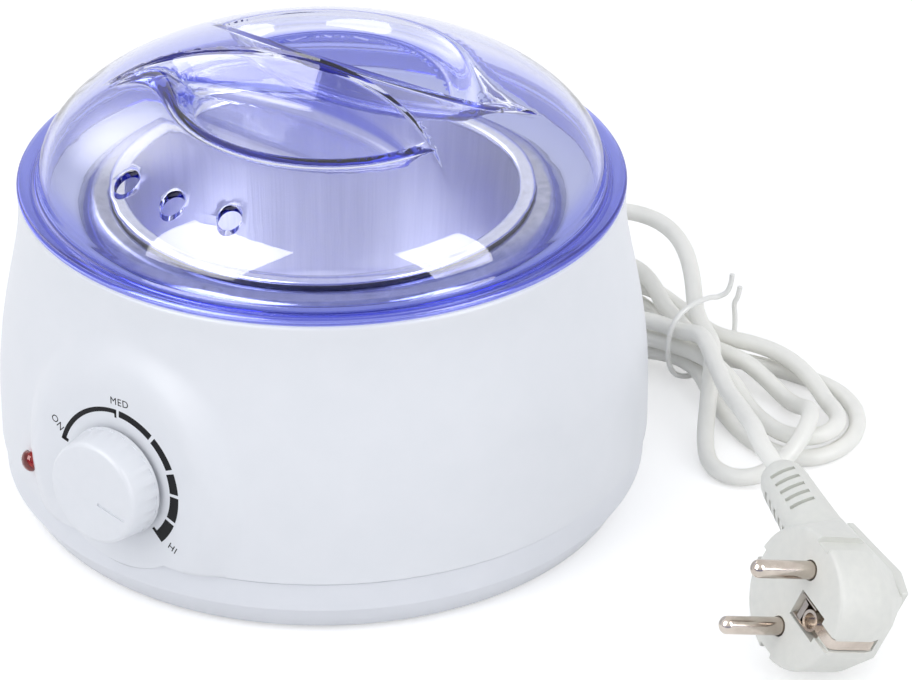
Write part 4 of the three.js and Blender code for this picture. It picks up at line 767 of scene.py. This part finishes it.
# Strain relief
def flexing_rings(place):
    """Rings along the boot, each a little smaller than the one before."""
    sizes = {"Rings": 5, "Pitch": 2.3, "First radius": 4.9, "Last radius": 3.95, "Ring width": 1.35}
    tree, size = form_tree("flexing rings", sizes)
    step = node(tree, "ShaderNodeCombineXYZ", {"Z": size["Pitch"]})
    line = node(tree, "GeometryNodeMeshLine", {"Count": size["Rings"], "Offset": step}, mode="OFFSET")
    ring = node(tree, "GeometryNodeMeshCylinder", {"Vertices": 64, "Radius": 1.0,
                                                   "Depth": size["Ring width"]})
    last = node(tree, "ShaderNodeMath", {0: size["Rings"], 1: 1.0}, operation="SUBTRACT")
    order = node(tree, "GeometryNodeInputIndex")
    radius = node(tree, "ShaderNodeMapRange", {"Value": order, "From Max": last,
                                               "To Min": size["First radius"], "To Max": size["Last radius"]})
    scale = node(tree, "ShaderNodeCombineXYZ", {"X": radius, "Y": radius, "Z": 1.0})
    placed = node(tree, "GeometryNodeInstanceOnPoints", {"Points": line, "Instance": ring,
                                                         "Scale": scale})
    return grown("flexing_rings", tree, placed, sizes, plug_white, place)


def make_bushing():
    """Cord bushing: flanges each side of the wall, tapered boot with flexing rings."""
    bore, first_ring = 2.8, 94.3
    profile = [(bore, 84), (5.8, 84), (6, 84.2), (6, 86.4), (5.8, 86.6), (4.2, 86.6), (4.2, 90.3),
               (5.8, 90.3), (6, 90.5), (6, 92), (5.7, 92.3), (5.0, 92.5), (4.6, 93.4), (3.4, 104.6),
               (3.4, 105.7), (bore, 105.7)]
    place = shifted(0, 0, cord_route[0][2]) @ turned_by(-90, "X")
    bushing = turned_piece("cord_strain_relief", profile, 64, plug_white, 40, place)
    hole = turned_piece("bore", [(0, 80), (bore, 80), (bore, 110), (0, 110)], 64, plug_white, place=place)
    weld(bushing, [flexing_rings(place @ shifted(0, 0, first_ring))])
    cut_away(bushing, hole)
    return bushing


bushing = make_bushing()
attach(bushing, "housing")
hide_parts("cord_bushing")


# Lid
DOME, DOME_FOOT, DOME_RISE, LID_WALL = 76.85, 93.96, 31.58, 2.0
CREST, WEB_HALF, WEB_RISE, WEB_REACH, WEB_EDGE = 88.4, 1.4, 1.2, 60, 0.8
LIP, LIP_X, LIP_Y = 41.5, 3.5, 2.5
# The floor of a pocket is lowest along its grip wall and rises towards the lip
FLOOR_LOW, FLOOR_SLOPE, FLOOR_START = 112.4, 0.1, 7
CREST_DRAFT, CREST_FOOT, LIP_EASE = 4.2, 3.6, 6.2
# The lip flares out and the crest bends in to the tip of the grip at one end
FLARE_START, FLARE, TIP = 23, 0.022, 58.5
CREST_BEND_START, CREST_BEND = 34, 0.014
# The lower face lies this far outside the walls of the pockets, with wider feet
SHELL, WIDER_FOOT = 1.9, 1
VENT, VENT_REACH, VENT_EDGE, VENT_SUNK, VENT_STEPS = 3.2, 64.4, 0.35, 0.35, 40
VENTS = [(VENT_REACH * math.sin(a), -VENT_REACH * math.cos(a)) for a in (-15 * DEGREE, 0, 15 * DEGREE)]
LID_TURN = 1.34
# Out to these radii each face is a mesh of even triangles, and round them the skin goes on in columns
TOP_RIM, UNDER_RIM, COLUMNS = 70, 68, 288
GRID_SPACING, GRID_HALF, GRID_ROW, RIM_GAP, VENT_GAP = 2.0, 40, 0.866, 1.2, 1
# The mesh follows lines along each pocket, which run on a little past it and keep the grid clear
CREST_STEP, CREST_STEPS, LIP_STEPS, LIP_NEAREST, HALVINGS, OVERRUN = 0.8, 75, 300, 20, 24, 1
LINE_ROOM, FLOOR_ROOM, VENT_SLACK, SAME_CORNER = 1.4, 0.8, 0.02, 1e-5


def dome(radius, wall=0):
    """Height of the dome, or of a face the wall below it."""
    return DOME_FOOT + (DOME_RISE - wall) * math.sqrt(max(0, 1 - (radius / (DOME - wall)) ** 2))


def crest_bend(along):
    """How far the crest leaves its circle towards the lip, so that both meet at the tip."""
    return CREST_BEND * max(0, along - CREST_BEND_START) ** 2


def inside_crest(x, y, side):
    """How far inside the crest line of a pocket a place lies, in plan."""
    return CREST - math.hypot(x, y - side * (WEB_HALF + CREST)) - crest_bend(side * x)


def inside_lip(x, y, side):
    flare = FLARE * max(0, side * x - FLARE_START) ** 2
    return min(LIP - math.hypot(x + side * LIP_X, y - side * LIP_Y) + flare, TIP - math.hypot(x, y))


def floor_height(y, side):
    return FLOOR_LOW + FLOOR_SLOPE * max(0, side * y - FLOOR_START)


def to_vent(x, y):
    """Distance to the middle of the nearest vent."""
    return min(math.hypot(x - vx, y - vy) for vx, vy in VENTS)


def grip_wall(t, top, floor, foot):
    """Height of the drafted grip wall with its rounded edge and foot, t inwards from its edge."""
    edge_width, edge_drop = 0.5, 0.25
    if t < CREST_DRAFT:
        edge = min(1, t / edge_width)
        slope = (floor + foot - top) / CREST_DRAFT
        return top + slope * (t - edge_drop * (1 - (1 - edge) ** 2) * (1 - t / CREST_DRAFT))
    if t < CREST_DRAFT + foot:
        return floor + foot - math.sqrt(foot ** 2 - (CREST_DRAFT + foot - t) ** 2)
    return floor


def pocket_height(t1, t2, top, floor, more_foot=0):
    """Height inside a pocket: the higher of its grip wall and the soft slope under its lip."""
    slope = top + (floor - top) * smooth(t2 / (LIP_EASE + more_foot))
    return max(grip_wall(t1, top, floor, CREST_FOOT + more_foot), slope)


def lid_top(x, y):
    """Upper face of the lid in plan: dome, raised web between the pockets, pockets."""
    radius = math.hypot(x, y)
    top = dome(radius)
    away = min(-inside_crest(x, y, side) for side in (-1, 1))
    if away > 0 and radius < WEB_REACH:
        top += WEB_RISE * (1 - (radius / WEB_REACH) ** 2) * smooth(away / WEB_EDGE)
    for side in (-1, 1):
        t1, t2 = inside_crest(x, y, side), inside_lip(x, y, side)
        if t1 > 0 and t2 > 0:
            return pocket_height(t1, t2, top, min(top, floor_height(y, side)))
    return top - VENT_SUNK if to_vent(x, y) < VENT + VENT_EDGE / 2 else top


def lid_under(x, y):
    """Lower face of the lid: an even wall under the dome and round the pockets."""
    top = dome(math.hypot(x, y), LID_WALL)
    low = top
    for side in (-1, 1):
        t1, t2 = inside_crest(x, y, side) + SHELL, inside_lip(x, y, side) + SHELL
        if t1 > 0 and t2 > 0:
            floor = min(top, floor_height(y, side) - LID_WALL)
            low = min(low, pocket_height(t1, t2, top, floor, WIDER_FOOT))
    return low


def lip_place(angle, depth, side):
    """Plan place on the line that lies the depth inside the lip, or None where it runs out into the grip."""
    def at(radius):
        return -side * LIP_X + radius * math.cos(angle), side * LIP_Y + radius * math.sin(angle)
    near, far = LIP_NEAREST, LIP_NEAREST + 1
    while inside_lip(*at(far), side) > depth:
        near, far = far, far + 1
        if far > WEB_REACH:
            return None
    for _ in range(HALVINGS):
        middle = (near + far) / 2
        if inside_lip(*at(middle), side) > depth:
            near = middle
        else:
            far = middle
    return at(near)


def unbroken(places):
    """Stretches of the places between those that are None."""
    kept, stretches = [], []
    for place in places + [None]:
        if place:
            kept.append(place)
        elif len(kept) > 1:
            stretches.append(kept)
            kept = []
    return stretches


def crest_line(t, side, shift):
    """Places t inside the crest, across the pocket, or across the web where t is on it."""
    line = []
    for x in (i * CREST_STEP for i in range(-CREST_STEPS, CREST_STEPS + 1)):
        radius = CREST - t + shift - crest_bend(side * x)
        y = side * (WEB_HALF + CREST - math.sqrt(radius ** 2 - x ** 2))
        in_pocket = inside_lip(x, y, side) > -OVERRUN - shift
        fits = in_pocket if t > 0 or shift > 0 else math.hypot(x, y) < WEB_REACH
        line.append((x, y) if fits else None)
    return line


def lip_line(t, side, shift):
    """Places t inside the lip, as far as the pocket reaches."""
    line = []
    for angle in (FULL_TURN * i / LIP_STEPS for i in range(LIP_STEPS)):
        place = lip_place(angle, t - shift, side)
        line.append(place if place and inside_crest(*place, side) > -OVERRUN - shift else None)
    return line


def pocket_lines(shift):
    """Plan lines that the mesh has to follow: edges, walls and feet of both pockets."""
    foot, ease = CREST_FOOT + (shift > 0) * WIDER_FOOT, LIP_EASE + (shift > 0) * WIDER_FOOT
    crest = [-0.8, -0.4, 0, 0.15, 0.3, 0.5, 1.2, 2.2, 3.2, CREST_DRAFT]
    crest += [CREST_DRAFT + foot * (1 - math.cos(math.pi / 2 * k / 5)) for k in range(1, 6)]
    lines = []
    for side in (-1, 1):
        for t in crest:
            lines += unbroken(crest_line(t, side, shift))
        for t in (ease * k / 9 for k in range(10)):
            lines += unbroken(lip_line(t, side, shift))
    return lines


def crowded(x, y, shift):
    """Whether the lines of a pocket already fill the mesh at a place."""
    for side in (-1, 1):
        t1, t2 = inside_crest(x, y, side) + shift, inside_lip(x, y, side) + shift
        past_wall, past_ease = t1 - CREST_DRAFT - CREST_FOOT, t2 - LIP_EASE
        if min(t1, t2) > -LINE_ROOM and min(past_wall, past_ease) < FLOOR_ROOM and max(t1, t2) > 0:
            return True
    return False


def ring_edges(start, count):
    """Edges round a ring of places, of which the last one closes it."""
    return [(start + i, start + (i + 1) % count) for i in range(count)]


def lid_patch(rim, height, shift):
    """Plan triangulation inside a circle, with its lines followed and the vents left open, then raised."""
    places, edges = circle(rim, COLUMNS), ring_edges(0, COLUMNS)
    for vent in VENTS:
        for radius in (VENT, VENT + VENT_EDGE):
            edges += ring_edges(len(places), VENT_STEPS)
            places += circle(radius, VENT_STEPS, vent)
    for line in pocket_lines(shift):
        edges += ring_edges(len(places), len(line))[:-1]
        places += line
    grid = range(-GRID_HALF, GRID_HALF + 1)
    for row in grid:
        for column in grid:
            x, y = (column + row % 2 / 2) * GRID_SPACING, row * GRID_SPACING * GRID_ROW
            clear = math.hypot(x, y) <= rim - RIM_GAP and to_vent(x, y) >= VENT + VENT_GAP
            if clear and not crowded(x, y, shift):
                places.append((x, y))
    flat = [Vector(place) for place in places]
    corners, _, triangles, origins, *_ = delaunay_2d_cdt(flat, edges, [], 1, SAME_CORNER)
    points = [(v.x, v.y, height(v.x, v.y)) for v in corners]
    faces = []
    for face in triangles:
        middle = [sum(corners[i][axis] for i in face) / len(face) for axis in (0, 1)]
        if to_vent(*middle) > VENT - VENT_SLACK:
            faces.append(list(face))
    where = {old: index for index, olds in enumerate(origins) for old in olds}
    return points, faces, where


def make_lid():
    """Clear domed lid: one closed skin of dome, rim, skirt, pockets, web and vents."""
    points, faces, top_where = lid_patch(TOP_RIM, lid_top, 0)
    low_points, low_faces, low_where = lid_patch(UNDER_RIM, lid_under, SHELL)
    offset = len(points)
    points += low_points
    faces += [[offset + i for i in face[::-1]] for face in low_faces]
    profile = [(r, dome(r)) for r in (72, 73.5, 74.8, 75.7, 76.3, 76.7)]
    profile += [(76.95, 94.1), (77.4, 93.5), (78.2, 93.1), (79, 93.0), (81.6, 93.0), (82.15, 92.85),
                (82.45, 92.45), (82.5, 92.1), (82.5, 91.5), (82.3, 91.2), (82, 91.1), (78.3, 91.1),
                (78, 90.8), (78, 86.3), (77.7, 86.0), (76.3, 86.0), (76, 86.3), (75.9, 90), (75.5, 92),
                (74.85, 94)]
    profile += [(r, dome(r, LID_WALL)) for r in (74.7, 74.2, 73.2, 71.8, 70)]
    last = [top_where[i] for i in range(COLUMNS)]
    for radius, height in profile:
        ring = list(range(len(points), len(points) + COLUMNS))
        points += [(x, y, height) for x, y in circle(radius, COLUMNS)]
        faces += band(last, ring)
        last = ring
    faces += band(last, [offset + low_where[i] for i in range(COLUMNS)])
    for start in range(COLUMNS, COLUMNS + 2 * VENT_STEPS * len(VENTS), 2 * VENT_STEPS):
        rim = range(start, start + VENT_STEPS)
        faces += band([offset + low_where[i] for i in rim], [top_where[i] for i in rim])
    return mesh_piece("lid_dome", moved(points, turned_by(LID_TURN, "Z")), faces, lid_violet, 42)


lid = make_lid()
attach(lid, "lid")
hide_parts("lid")


# Plug
# Middle of the plug's face: pins along +X, cord leaving along -Y
PLUG = (shifted(161.2, -12.4, 24.3) @ turned_by(-114.37, "Z") @ turned_by(-19.32, "Y") @
        turned_by(-12.26, "X"))
FACE, FACE_EDGE, PIN_SPREAD = 18.8, 0.6, 9.5
BOOT_START, BOOT_TIP, BOOT_HOLLOW = Vector((-22.5, -15, 0)), Vector((-26.5, -52, 0)), 4
# Cutters for recesses and for grooves start this far in front of the face
RECESS_OUT, GROOVE_OUT = 2, 3


def along_x(points_and_faces, place):
    """The turned mesh laid along the X of its place."""
    points, faces = points_and_faces
    return moved(points, place @ turned_by(90, "Y")), faces


def both_sides(places):
    return [(x, y, side * z) for x, y, z in places for side in (-1, 1)]


def hull_piece(name, points, bevel, finish):
    """Convex moulding round the points with softened edges."""
    mesh = bpy.data.meshes.new(name)
    shape = bmesh.new()
    for point in points:
        shape.verts.new([c * MM for c in point])
    bmesh.ops.convex_hull(shape, input=shape.verts)
    loose = [v for v in shape.verts if not v.link_faces]
    bmesh.ops.delete(shape, geom=loose, context="VERTS")
    bmesh.ops.dissolve_limit(shape, angle_limit=1.5 * DEGREE, verts=shape.verts, edges=shape.edges)
    shape.to_mesh(mesh)
    shape.free()
    made = new_object(name, mesh)
    rounding = made.modifiers.new("edge", "BEVEL")
    rounding.width, rounding.segments = bevel * MM, 3
    rounding.limit_method, rounding.angle_limit = "ANGLE", 14 * DEGREE
    settle(made)
    tidy(made, 28)
    made.data.materials.clear()
    made.data.materials.append(finish)
    return made


def slot_cutters(place):
    """Flat cutters for the flexing slots: a row down each side, along the taper, by turns lower."""
    sizes = {"Sides": 4, "Slots": 5, "Pitch": -3.4, "Spread": 0.2, "First reach": 7.3, "First slot": -6.4,
             "Stagger": -1.7, "Depth": 4.4, "Length": 7.0, "Width": 1.3}
    tree, size = form_tree("flexing slots", sizes)
    first = node(tree, "ShaderNodeCombineXYZ", {"X": size["First reach"], "Z": size["First slot"]})
    step = node(tree, "ShaderNodeCombineXYZ", {"X": size["Spread"], "Z": size["Pitch"]})
    line = node(tree, "GeometryNodeMeshLine", {"Count": size["Slots"], "Start Location": first,
                                               "Offset": step}, mode="OFFSET")
    block = node(tree, "ShaderNodeCombineXYZ", {"X": size["Depth"], "Y": size["Length"], "Z": size["Width"]})
    bar = node(tree, "GeometryNodeMeshCube", {"Size": block})
    row = node(tree, "GeometryNodeInstanceOnPoints", {"Points": line, "Instance": bar})
    order = node(tree, "GeometryNodeInputIndex")
    every_other = node(tree, "ShaderNodeMath", {0: order, 1: 2.0}, operation="MODULO")
    lower = node(tree, "ShaderNodeMath", {0: every_other, 1: size["Stagger"]}, operation="MULTIPLY")
    quarter = node(tree, "ShaderNodeMath", {0: order, 1: math.pi / 2}, operation="MULTIPLY")
    sides = node(tree, "GeometryNodeMeshLine", {"Count": size["Sides"], "Offset": (0.0, 0.0, 0.0)},
                 mode="OFFSET")
    shift = node(tree, "ShaderNodeCombineXYZ", {"Z": lower})
    spots = node(tree, "GeometryNodeSetPosition", {"Geometry": sides, "Offset": shift})
    turn = node(tree, "ShaderNodeCombineXYZ", {"Z": quarter})
    placed = node(tree, "GeometryNodeInstanceOnPoints", {"Points": spots, "Instance": row,
                                                         "Rotation": turn})
    return grown("flexing_slots", tree, placed, sizes, plug_white, place)


def make_boot(place, length):
    """Tapered boot of the cord: slightly square in section, with a hollow for the cord in its end."""
    hollow = length - BOOT_HOLLOW
    profile = [(0, -6), (8.8, -6), (8.8, 0), (8.4, 6), (7.9, 14), (7.5, 20), (7.1, 27), (6.8, length - 5.5),
               (6.3, length - 3.2), (5.3, length - 1), (4.7, length - 0.2), (4.3, length), (2.6, length),
               (2.6, hollow), (0, hollow)]
    points, faces = lathe(profile, 72)
    squareness, hollow_out, fade = 0.035, 3.5, 8
    squared = []
    for x, y, z in points:
        radius, angle = math.hypot(x, y), math.atan2(y, x)
        grow = 1 + squareness * math.cos(4 * angle) * (radius > hollow_out) * smooth((length - z) / fade)
        squared.append((x * grow, y * grow, z))
    return mesh_piece("plug_boot", moved(squared, place), faces, plug_white)


def make_plug():
    """Moulded plug: round front, wedge back with a raised edge, slotted boot, recesses for pins and earth."""
    front = [(x, r * c, r * s) for x, r in ((0, FACE - FACE_EDGE), (-FACE_EDGE, FACE), (-13, FACE))
             for c, s in circle(1, 96)]
    rear = both_sides([(-26.4, -18.6, 8.4), (-30, 0, 8.4), (-27.4, 8, 7.6), (-19.6, 16.4, 5.5),
                       (-21, -18.7, 12), (-17.5, 12.5, 12.5)])
    body = hull_piece("plug_moulding", front + rear, 0.9, plug_white)
    flange = both_sides([(-26.7, -19.4, 10.2), (-30.5, 0.4, 10.2), (-28.3, 8.2, 9.4)])
    flange += [(x + 2.3, y, z * 1.01) for x, y, z in flange]
    back_plate = hull_piece("plug_back_plate", flange, 0.45, plug_white)
    length = (BOOT_TIP - BOOT_START).length
    heading = Vector((0, 0, 1)).rotation_difference(BOOT_TIP - BOOT_START).to_matrix().to_4x4()
    boot_place = Matrix.Translation(BOOT_START) @ heading
    weld(body, [back_plate, make_boot(boot_place, length)])
    cut_away(body, slot_cutters(boot_place @ turned_by(45, "Z") @ shifted(0, 0, length)))
    cutters = []
    groove, guide, guide_wide, socket_radius = 1.9, 1.8, 2.5, 2.75
    for side in (-1, 1):
        # grooves for the side strips, guide grooves across them, and the sockets that the pins stand in
        cutters.append(box_mesh((-16, side * FACE - groove, -groove),
                                (GROOVE_OUT, side * FACE + groove, groove)))
        cutters.append(box_mesh((-17, -guide_wide, side * FACE - guide),
                                (GROOVE_OUT, guide_wide, side * FACE + guide)))
        socket = lathe([(0, -5), (socket_radius, -5), (socket_radius, RECESS_OUT), (0, RECESS_OUT)], 40)
        cutters.append(along_x(socket, shifted(0, 0, side * PIN_SPREAD)))
    cutters.append(box_mesh((-3.2, 1.2, -4.0), (RECESS_OUT, 12.6, 4.0)))
    cutters.append(box_mesh((-1.2, 12.0, -2.4), (RECESS_OUT, 19.5, 2.4)))
    points, faces = gathered(cutters)
    cut_away(body, mesh_piece("plug_cuts", points, faces, plug_white))
    tidy(body, 28)
    body.data.transform(Matrix.Scale(MM, 4) @ PLUG @ Matrix.Scale(1 / MM, 4))
    return body


def bent_strip(line, width, thickness):
    """Sheet metal strip: a line of (x, y) in the plug's plane given a thickness and a width along Z."""
    points = []
    for i, (x, y) in enumerate(line):
        before, after = line[max(0, i - 1)], line[min(len(line) - 1, i + 1)]
        way = Vector((after[0] - before[0], after[1] - before[1])).normalized()
        for side in (0, thickness):
            points += [(x - way.y * side, y + way.x * side, z) for z in (-width / 2, width / 2)]
    return points, bar_faces(len(line))


def plug_metal_piece(name, parts, sharp, stands_for):
    """Bright part of the plug, on its body and in place of its solid."""
    points, faces = gathered(parts)
    made = mesh_piece(name, moved(points, PLUG), faces, nickel, sharp)
    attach(made, "housing")
    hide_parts(stands_for)
    return made


def make_plug_metal():
    """Two pins with domed ends, and the earth contacts in their recesses."""
    pin, pin_length, dome_length, strip, sheet = 2.4, 19, 2.1, 3.0, 0.5
    profile = [(0, -4.8), (pin, -4.8)]
    profile += [(pin * math.cos(a), pin_length - dome_length + dome_length * math.sin(a))
                for a in (math.pi / 2 * k / 8 for k in range(8))] + [(0, pin_length)]
    pieces = []
    for index, side in enumerate((1, -1)):
        turned = along_x(lathe(profile, 40), shifted(0, 0, side * PIN_SPREAD))
        pieces.append(plug_metal_piece("plug_pin_%d_turned" % index, [turned], 50, "plug_pin_%d" % index))
    socket = along_x(lathe([(2.1, -2.9), (2.9, -2.9), (2.9, 0.2), (2.1, 0.2)], 40), shifted(0, 8.7, 0))
    plate = box_mesh((-2.9, 1.4, -3.8), (-2.4, 12.4, 3.8))
    flaps = [box_mesh((-2.4, 1.6, side * 3.2 - 0.2), (-0.3, 8.4, side * 3.2 + 0.2)) for side in (-1, 1)]
    spring = bent_strip([(-2.2, 2.2), (-0.3, 3.4), (0.15, 5.6)], 5.4, 0.4)
    near = bent_strip([(-0.9, 10.8), (-0.7, 15), (-0.9, 17.2), (-1.8, 18.0), (-4, 18.15), (-14.6, 18.15)],
                      strip, sheet)
    far = bent_strip([(-14.6, -18.15), (-4, -18.15), (-1.6, -17.9), (-0.8, -17.2)], strip, sheet)
    contact = [socket, plate, *flaps, spring, near]
    pieces.append(plug_metal_piece("plug_earth_contact", contact, 30, "plug_earth_strip_1"))
    pieces.append(plug_metal_piece("plug_earth_contact_far", [far], 30, "plug_earth_strip_0"))
    return pieces


plug = make_plug()
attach(plug, "housing")
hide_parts("plug_body")
plug_metal = make_plug_metal()


# Table, studio and lamps
def pale_table():
    """Plain pale top, lifted a little where it is looked at, so that it is white outside the shadow."""
    made, tree, shader = material("pale table")
    seen = node(tree, "ShaderNodeLightPath").outputs
    shown = node(tree, "ShaderNodeMath", {0: seen["Is Glossy Ray"], 1: seen["Is Transmission Ray"]},
                 operation="MAXIMUM")
    shown = node(tree, "ShaderNodeMath", {0: shown, 1: seen["Is Camera Ray"]}, operation="MAXIMUM")
    lift = node(tree, "ShaderNodeMath", {0: shown, 1: 0.4}, operation="MULTIPLY")
    set_on(shader, tree, Base_Color=linear(0xE8E8E8), Roughness=0.9, Specular_IOR_Level=0.0,
           Emission_Color=linear(0xFFFFFF), Emission_Strength=lift)
    return made


HALF = 6  # half the width of the table top
floor_mesh = bpy.data.meshes.new("floor")
corners = [(-HALF, -HALF, 0), (HALF, -HALF, 0), (HALF, HALF, 0), (-HALF, HALF, 0)]
floor_mesh.from_pydata(corners, [], [(0, 1, 2, 3)])
floor = new_object("floor", floor_mesh)
floor.data.materials.append(pale_table())


def studio():
    """White studio for the camera, softer light for the object, and an unlit end for gloss and glass.

    The unlit end lies low down in front of the table, where the photograph shows it mirrored.
    """
    world = bpy.data.worlds.new("studio")
    bpy.context.scene.world = world
    world.use_nodes = True
    tree = world.node_tree
    tree.nodes.clear()
    seen = node(tree, "ShaderNodeLightPath").outputs
    white = node(tree, "ShaderNodeBackground", {"Color": linear(0xFFFFFF), "Strength": 1.0})
    soft = node(tree, "ShaderNodeBackground", {"Color": linear(0xF8FAFF), "Strength": 0.76})
    way = node(tree, "ShaderNodeTexCoord").outputs["Generated"]
    front = node(tree, "ShaderNodeVectorMath", {0: way, 1: (0.585, -0.811, 0.0)}, operation="DOT_PRODUCT")
    ahead = node(tree, "ShaderNodeMapRange", {"Value": front.outputs["Value"], "From Min": -0.3,
                                              "From Max": 0.75}, interpolation_type="SMOOTHSTEP")
    height = node(tree, "ShaderNodeSeparateXYZ", {"Vector": way}).outputs[2]
    low = node(tree, "ShaderNodeMapRange", {"Value": height, "From Min": 0.5, "From Max": 0.1},
               interpolation_type="SMOOTHSTEP")
    unlit = node(tree, "ShaderNodeMath", {0: ahead, 1: low}, operation="MULTIPLY")
    # seen through glass, it has taken on the tone of the violet lid
    dim = tinted(tree, seen["Is Transmission Ray"], 0x7E82B0, 0x2A2E98)
    room = node(tree, "ShaderNodeMix", {0: unlit, 6: linear(0xFFFFFF), 7: dim}, data_type="RGBA")
    glow = node(tree, "ShaderNodeBackground", {"Color": room.outputs[2], "Strength": 1.0})
    shown = node(tree, "ShaderNodeMath", {0: seen["Is Glossy Ray"], 1: seen["Is Transmission Ray"]},
                 operation="MAXIMUM")
    inside = node(tree, "ShaderNodeMixShader", {0: shown, 1: soft, 2: glow})
    mixed = node(tree, "ShaderNodeMixShader", {0: seen["Is Camera Ray"], 1: inside, 2: white})
    node(tree, "ShaderNodeOutputWorld", {"Surface": mixed})


MIDDLE = Vector((0, 0, 0.1))


def lamp_at(name, place, width, height, watts):
    """Rectangular lamp turned to the middle of the object."""
    lamp = bpy.data.lights.new(name, "AREA")
    lamp.shape, lamp.size, lamp.size_y, lamp.energy = "RECTANGLE", width, height, watts
    made = new_object(name, lamp)
    toward = (MIDDLE - Vector(place)).to_track_quat("-Z", "Y").to_matrix().to_4x4()
    made.matrix_world = Matrix.Translation(place) @ toward
    return made


def soft_box(name, place, width, height, watts, shine):
    """Softbox that lights the object, and one just before it that only shines on gloss."""
    before, smaller = 0.02, 0.98
    lamp_at(name, place, width, height, watts)
    nearer = Vector(place).lerp(MIDDLE, before)
    lamp_at(name + " shine", nearer, width * smaller, height * smaller, shine).visible_diffuse = False


def fading_glow(name, place, width, height, watts):
    """Broad glow on gloss alone, brightest in its middle and fading to nothing at its edges."""
    made = lamp_at(name, place, width, height, watts)
    made.visible_diffuse = False
    made.data.use_nodes = True
    tree = made.data.node_tree
    tree.nodes.clear()
    spot = node(tree, "ShaderNodeNewGeometry").outputs["Parametric"]
    away = node(tree, "ShaderNodeVectorMath", {0: spot, 1: (0.5, 0.5, 0.0)}, operation="DISTANCE")
    fade = node(tree, "ShaderNodeMapRange", {"Value": away.outputs["Value"], "From Min": 0.0, "From Max": 0.5,
                                             "To Min": 1.0, "To Max": 0.0}, interpolation_type="SMOOTHSTEP")
    glow = node(tree, "ShaderNodeEmission", {"Color": linear(0xFFFFFF), "Strength": fade})
    node(tree, "ShaderNodeOutputLight", {"Surface": glow})


studio()
soft_box("left box", (-0.209, -0.821, 0.76), 0.76, 1.01, 3.4, 11)
soft_box("right box", (1.003, 0.02, 0.6), 0.52, 0.96, 2.9, 7)
fading_glow("far left glow", (-0.95, 0.23, 0.71), 0.8, 1.1, 9)

bpy.context.scene.view_settings.view_transform = "Standard"
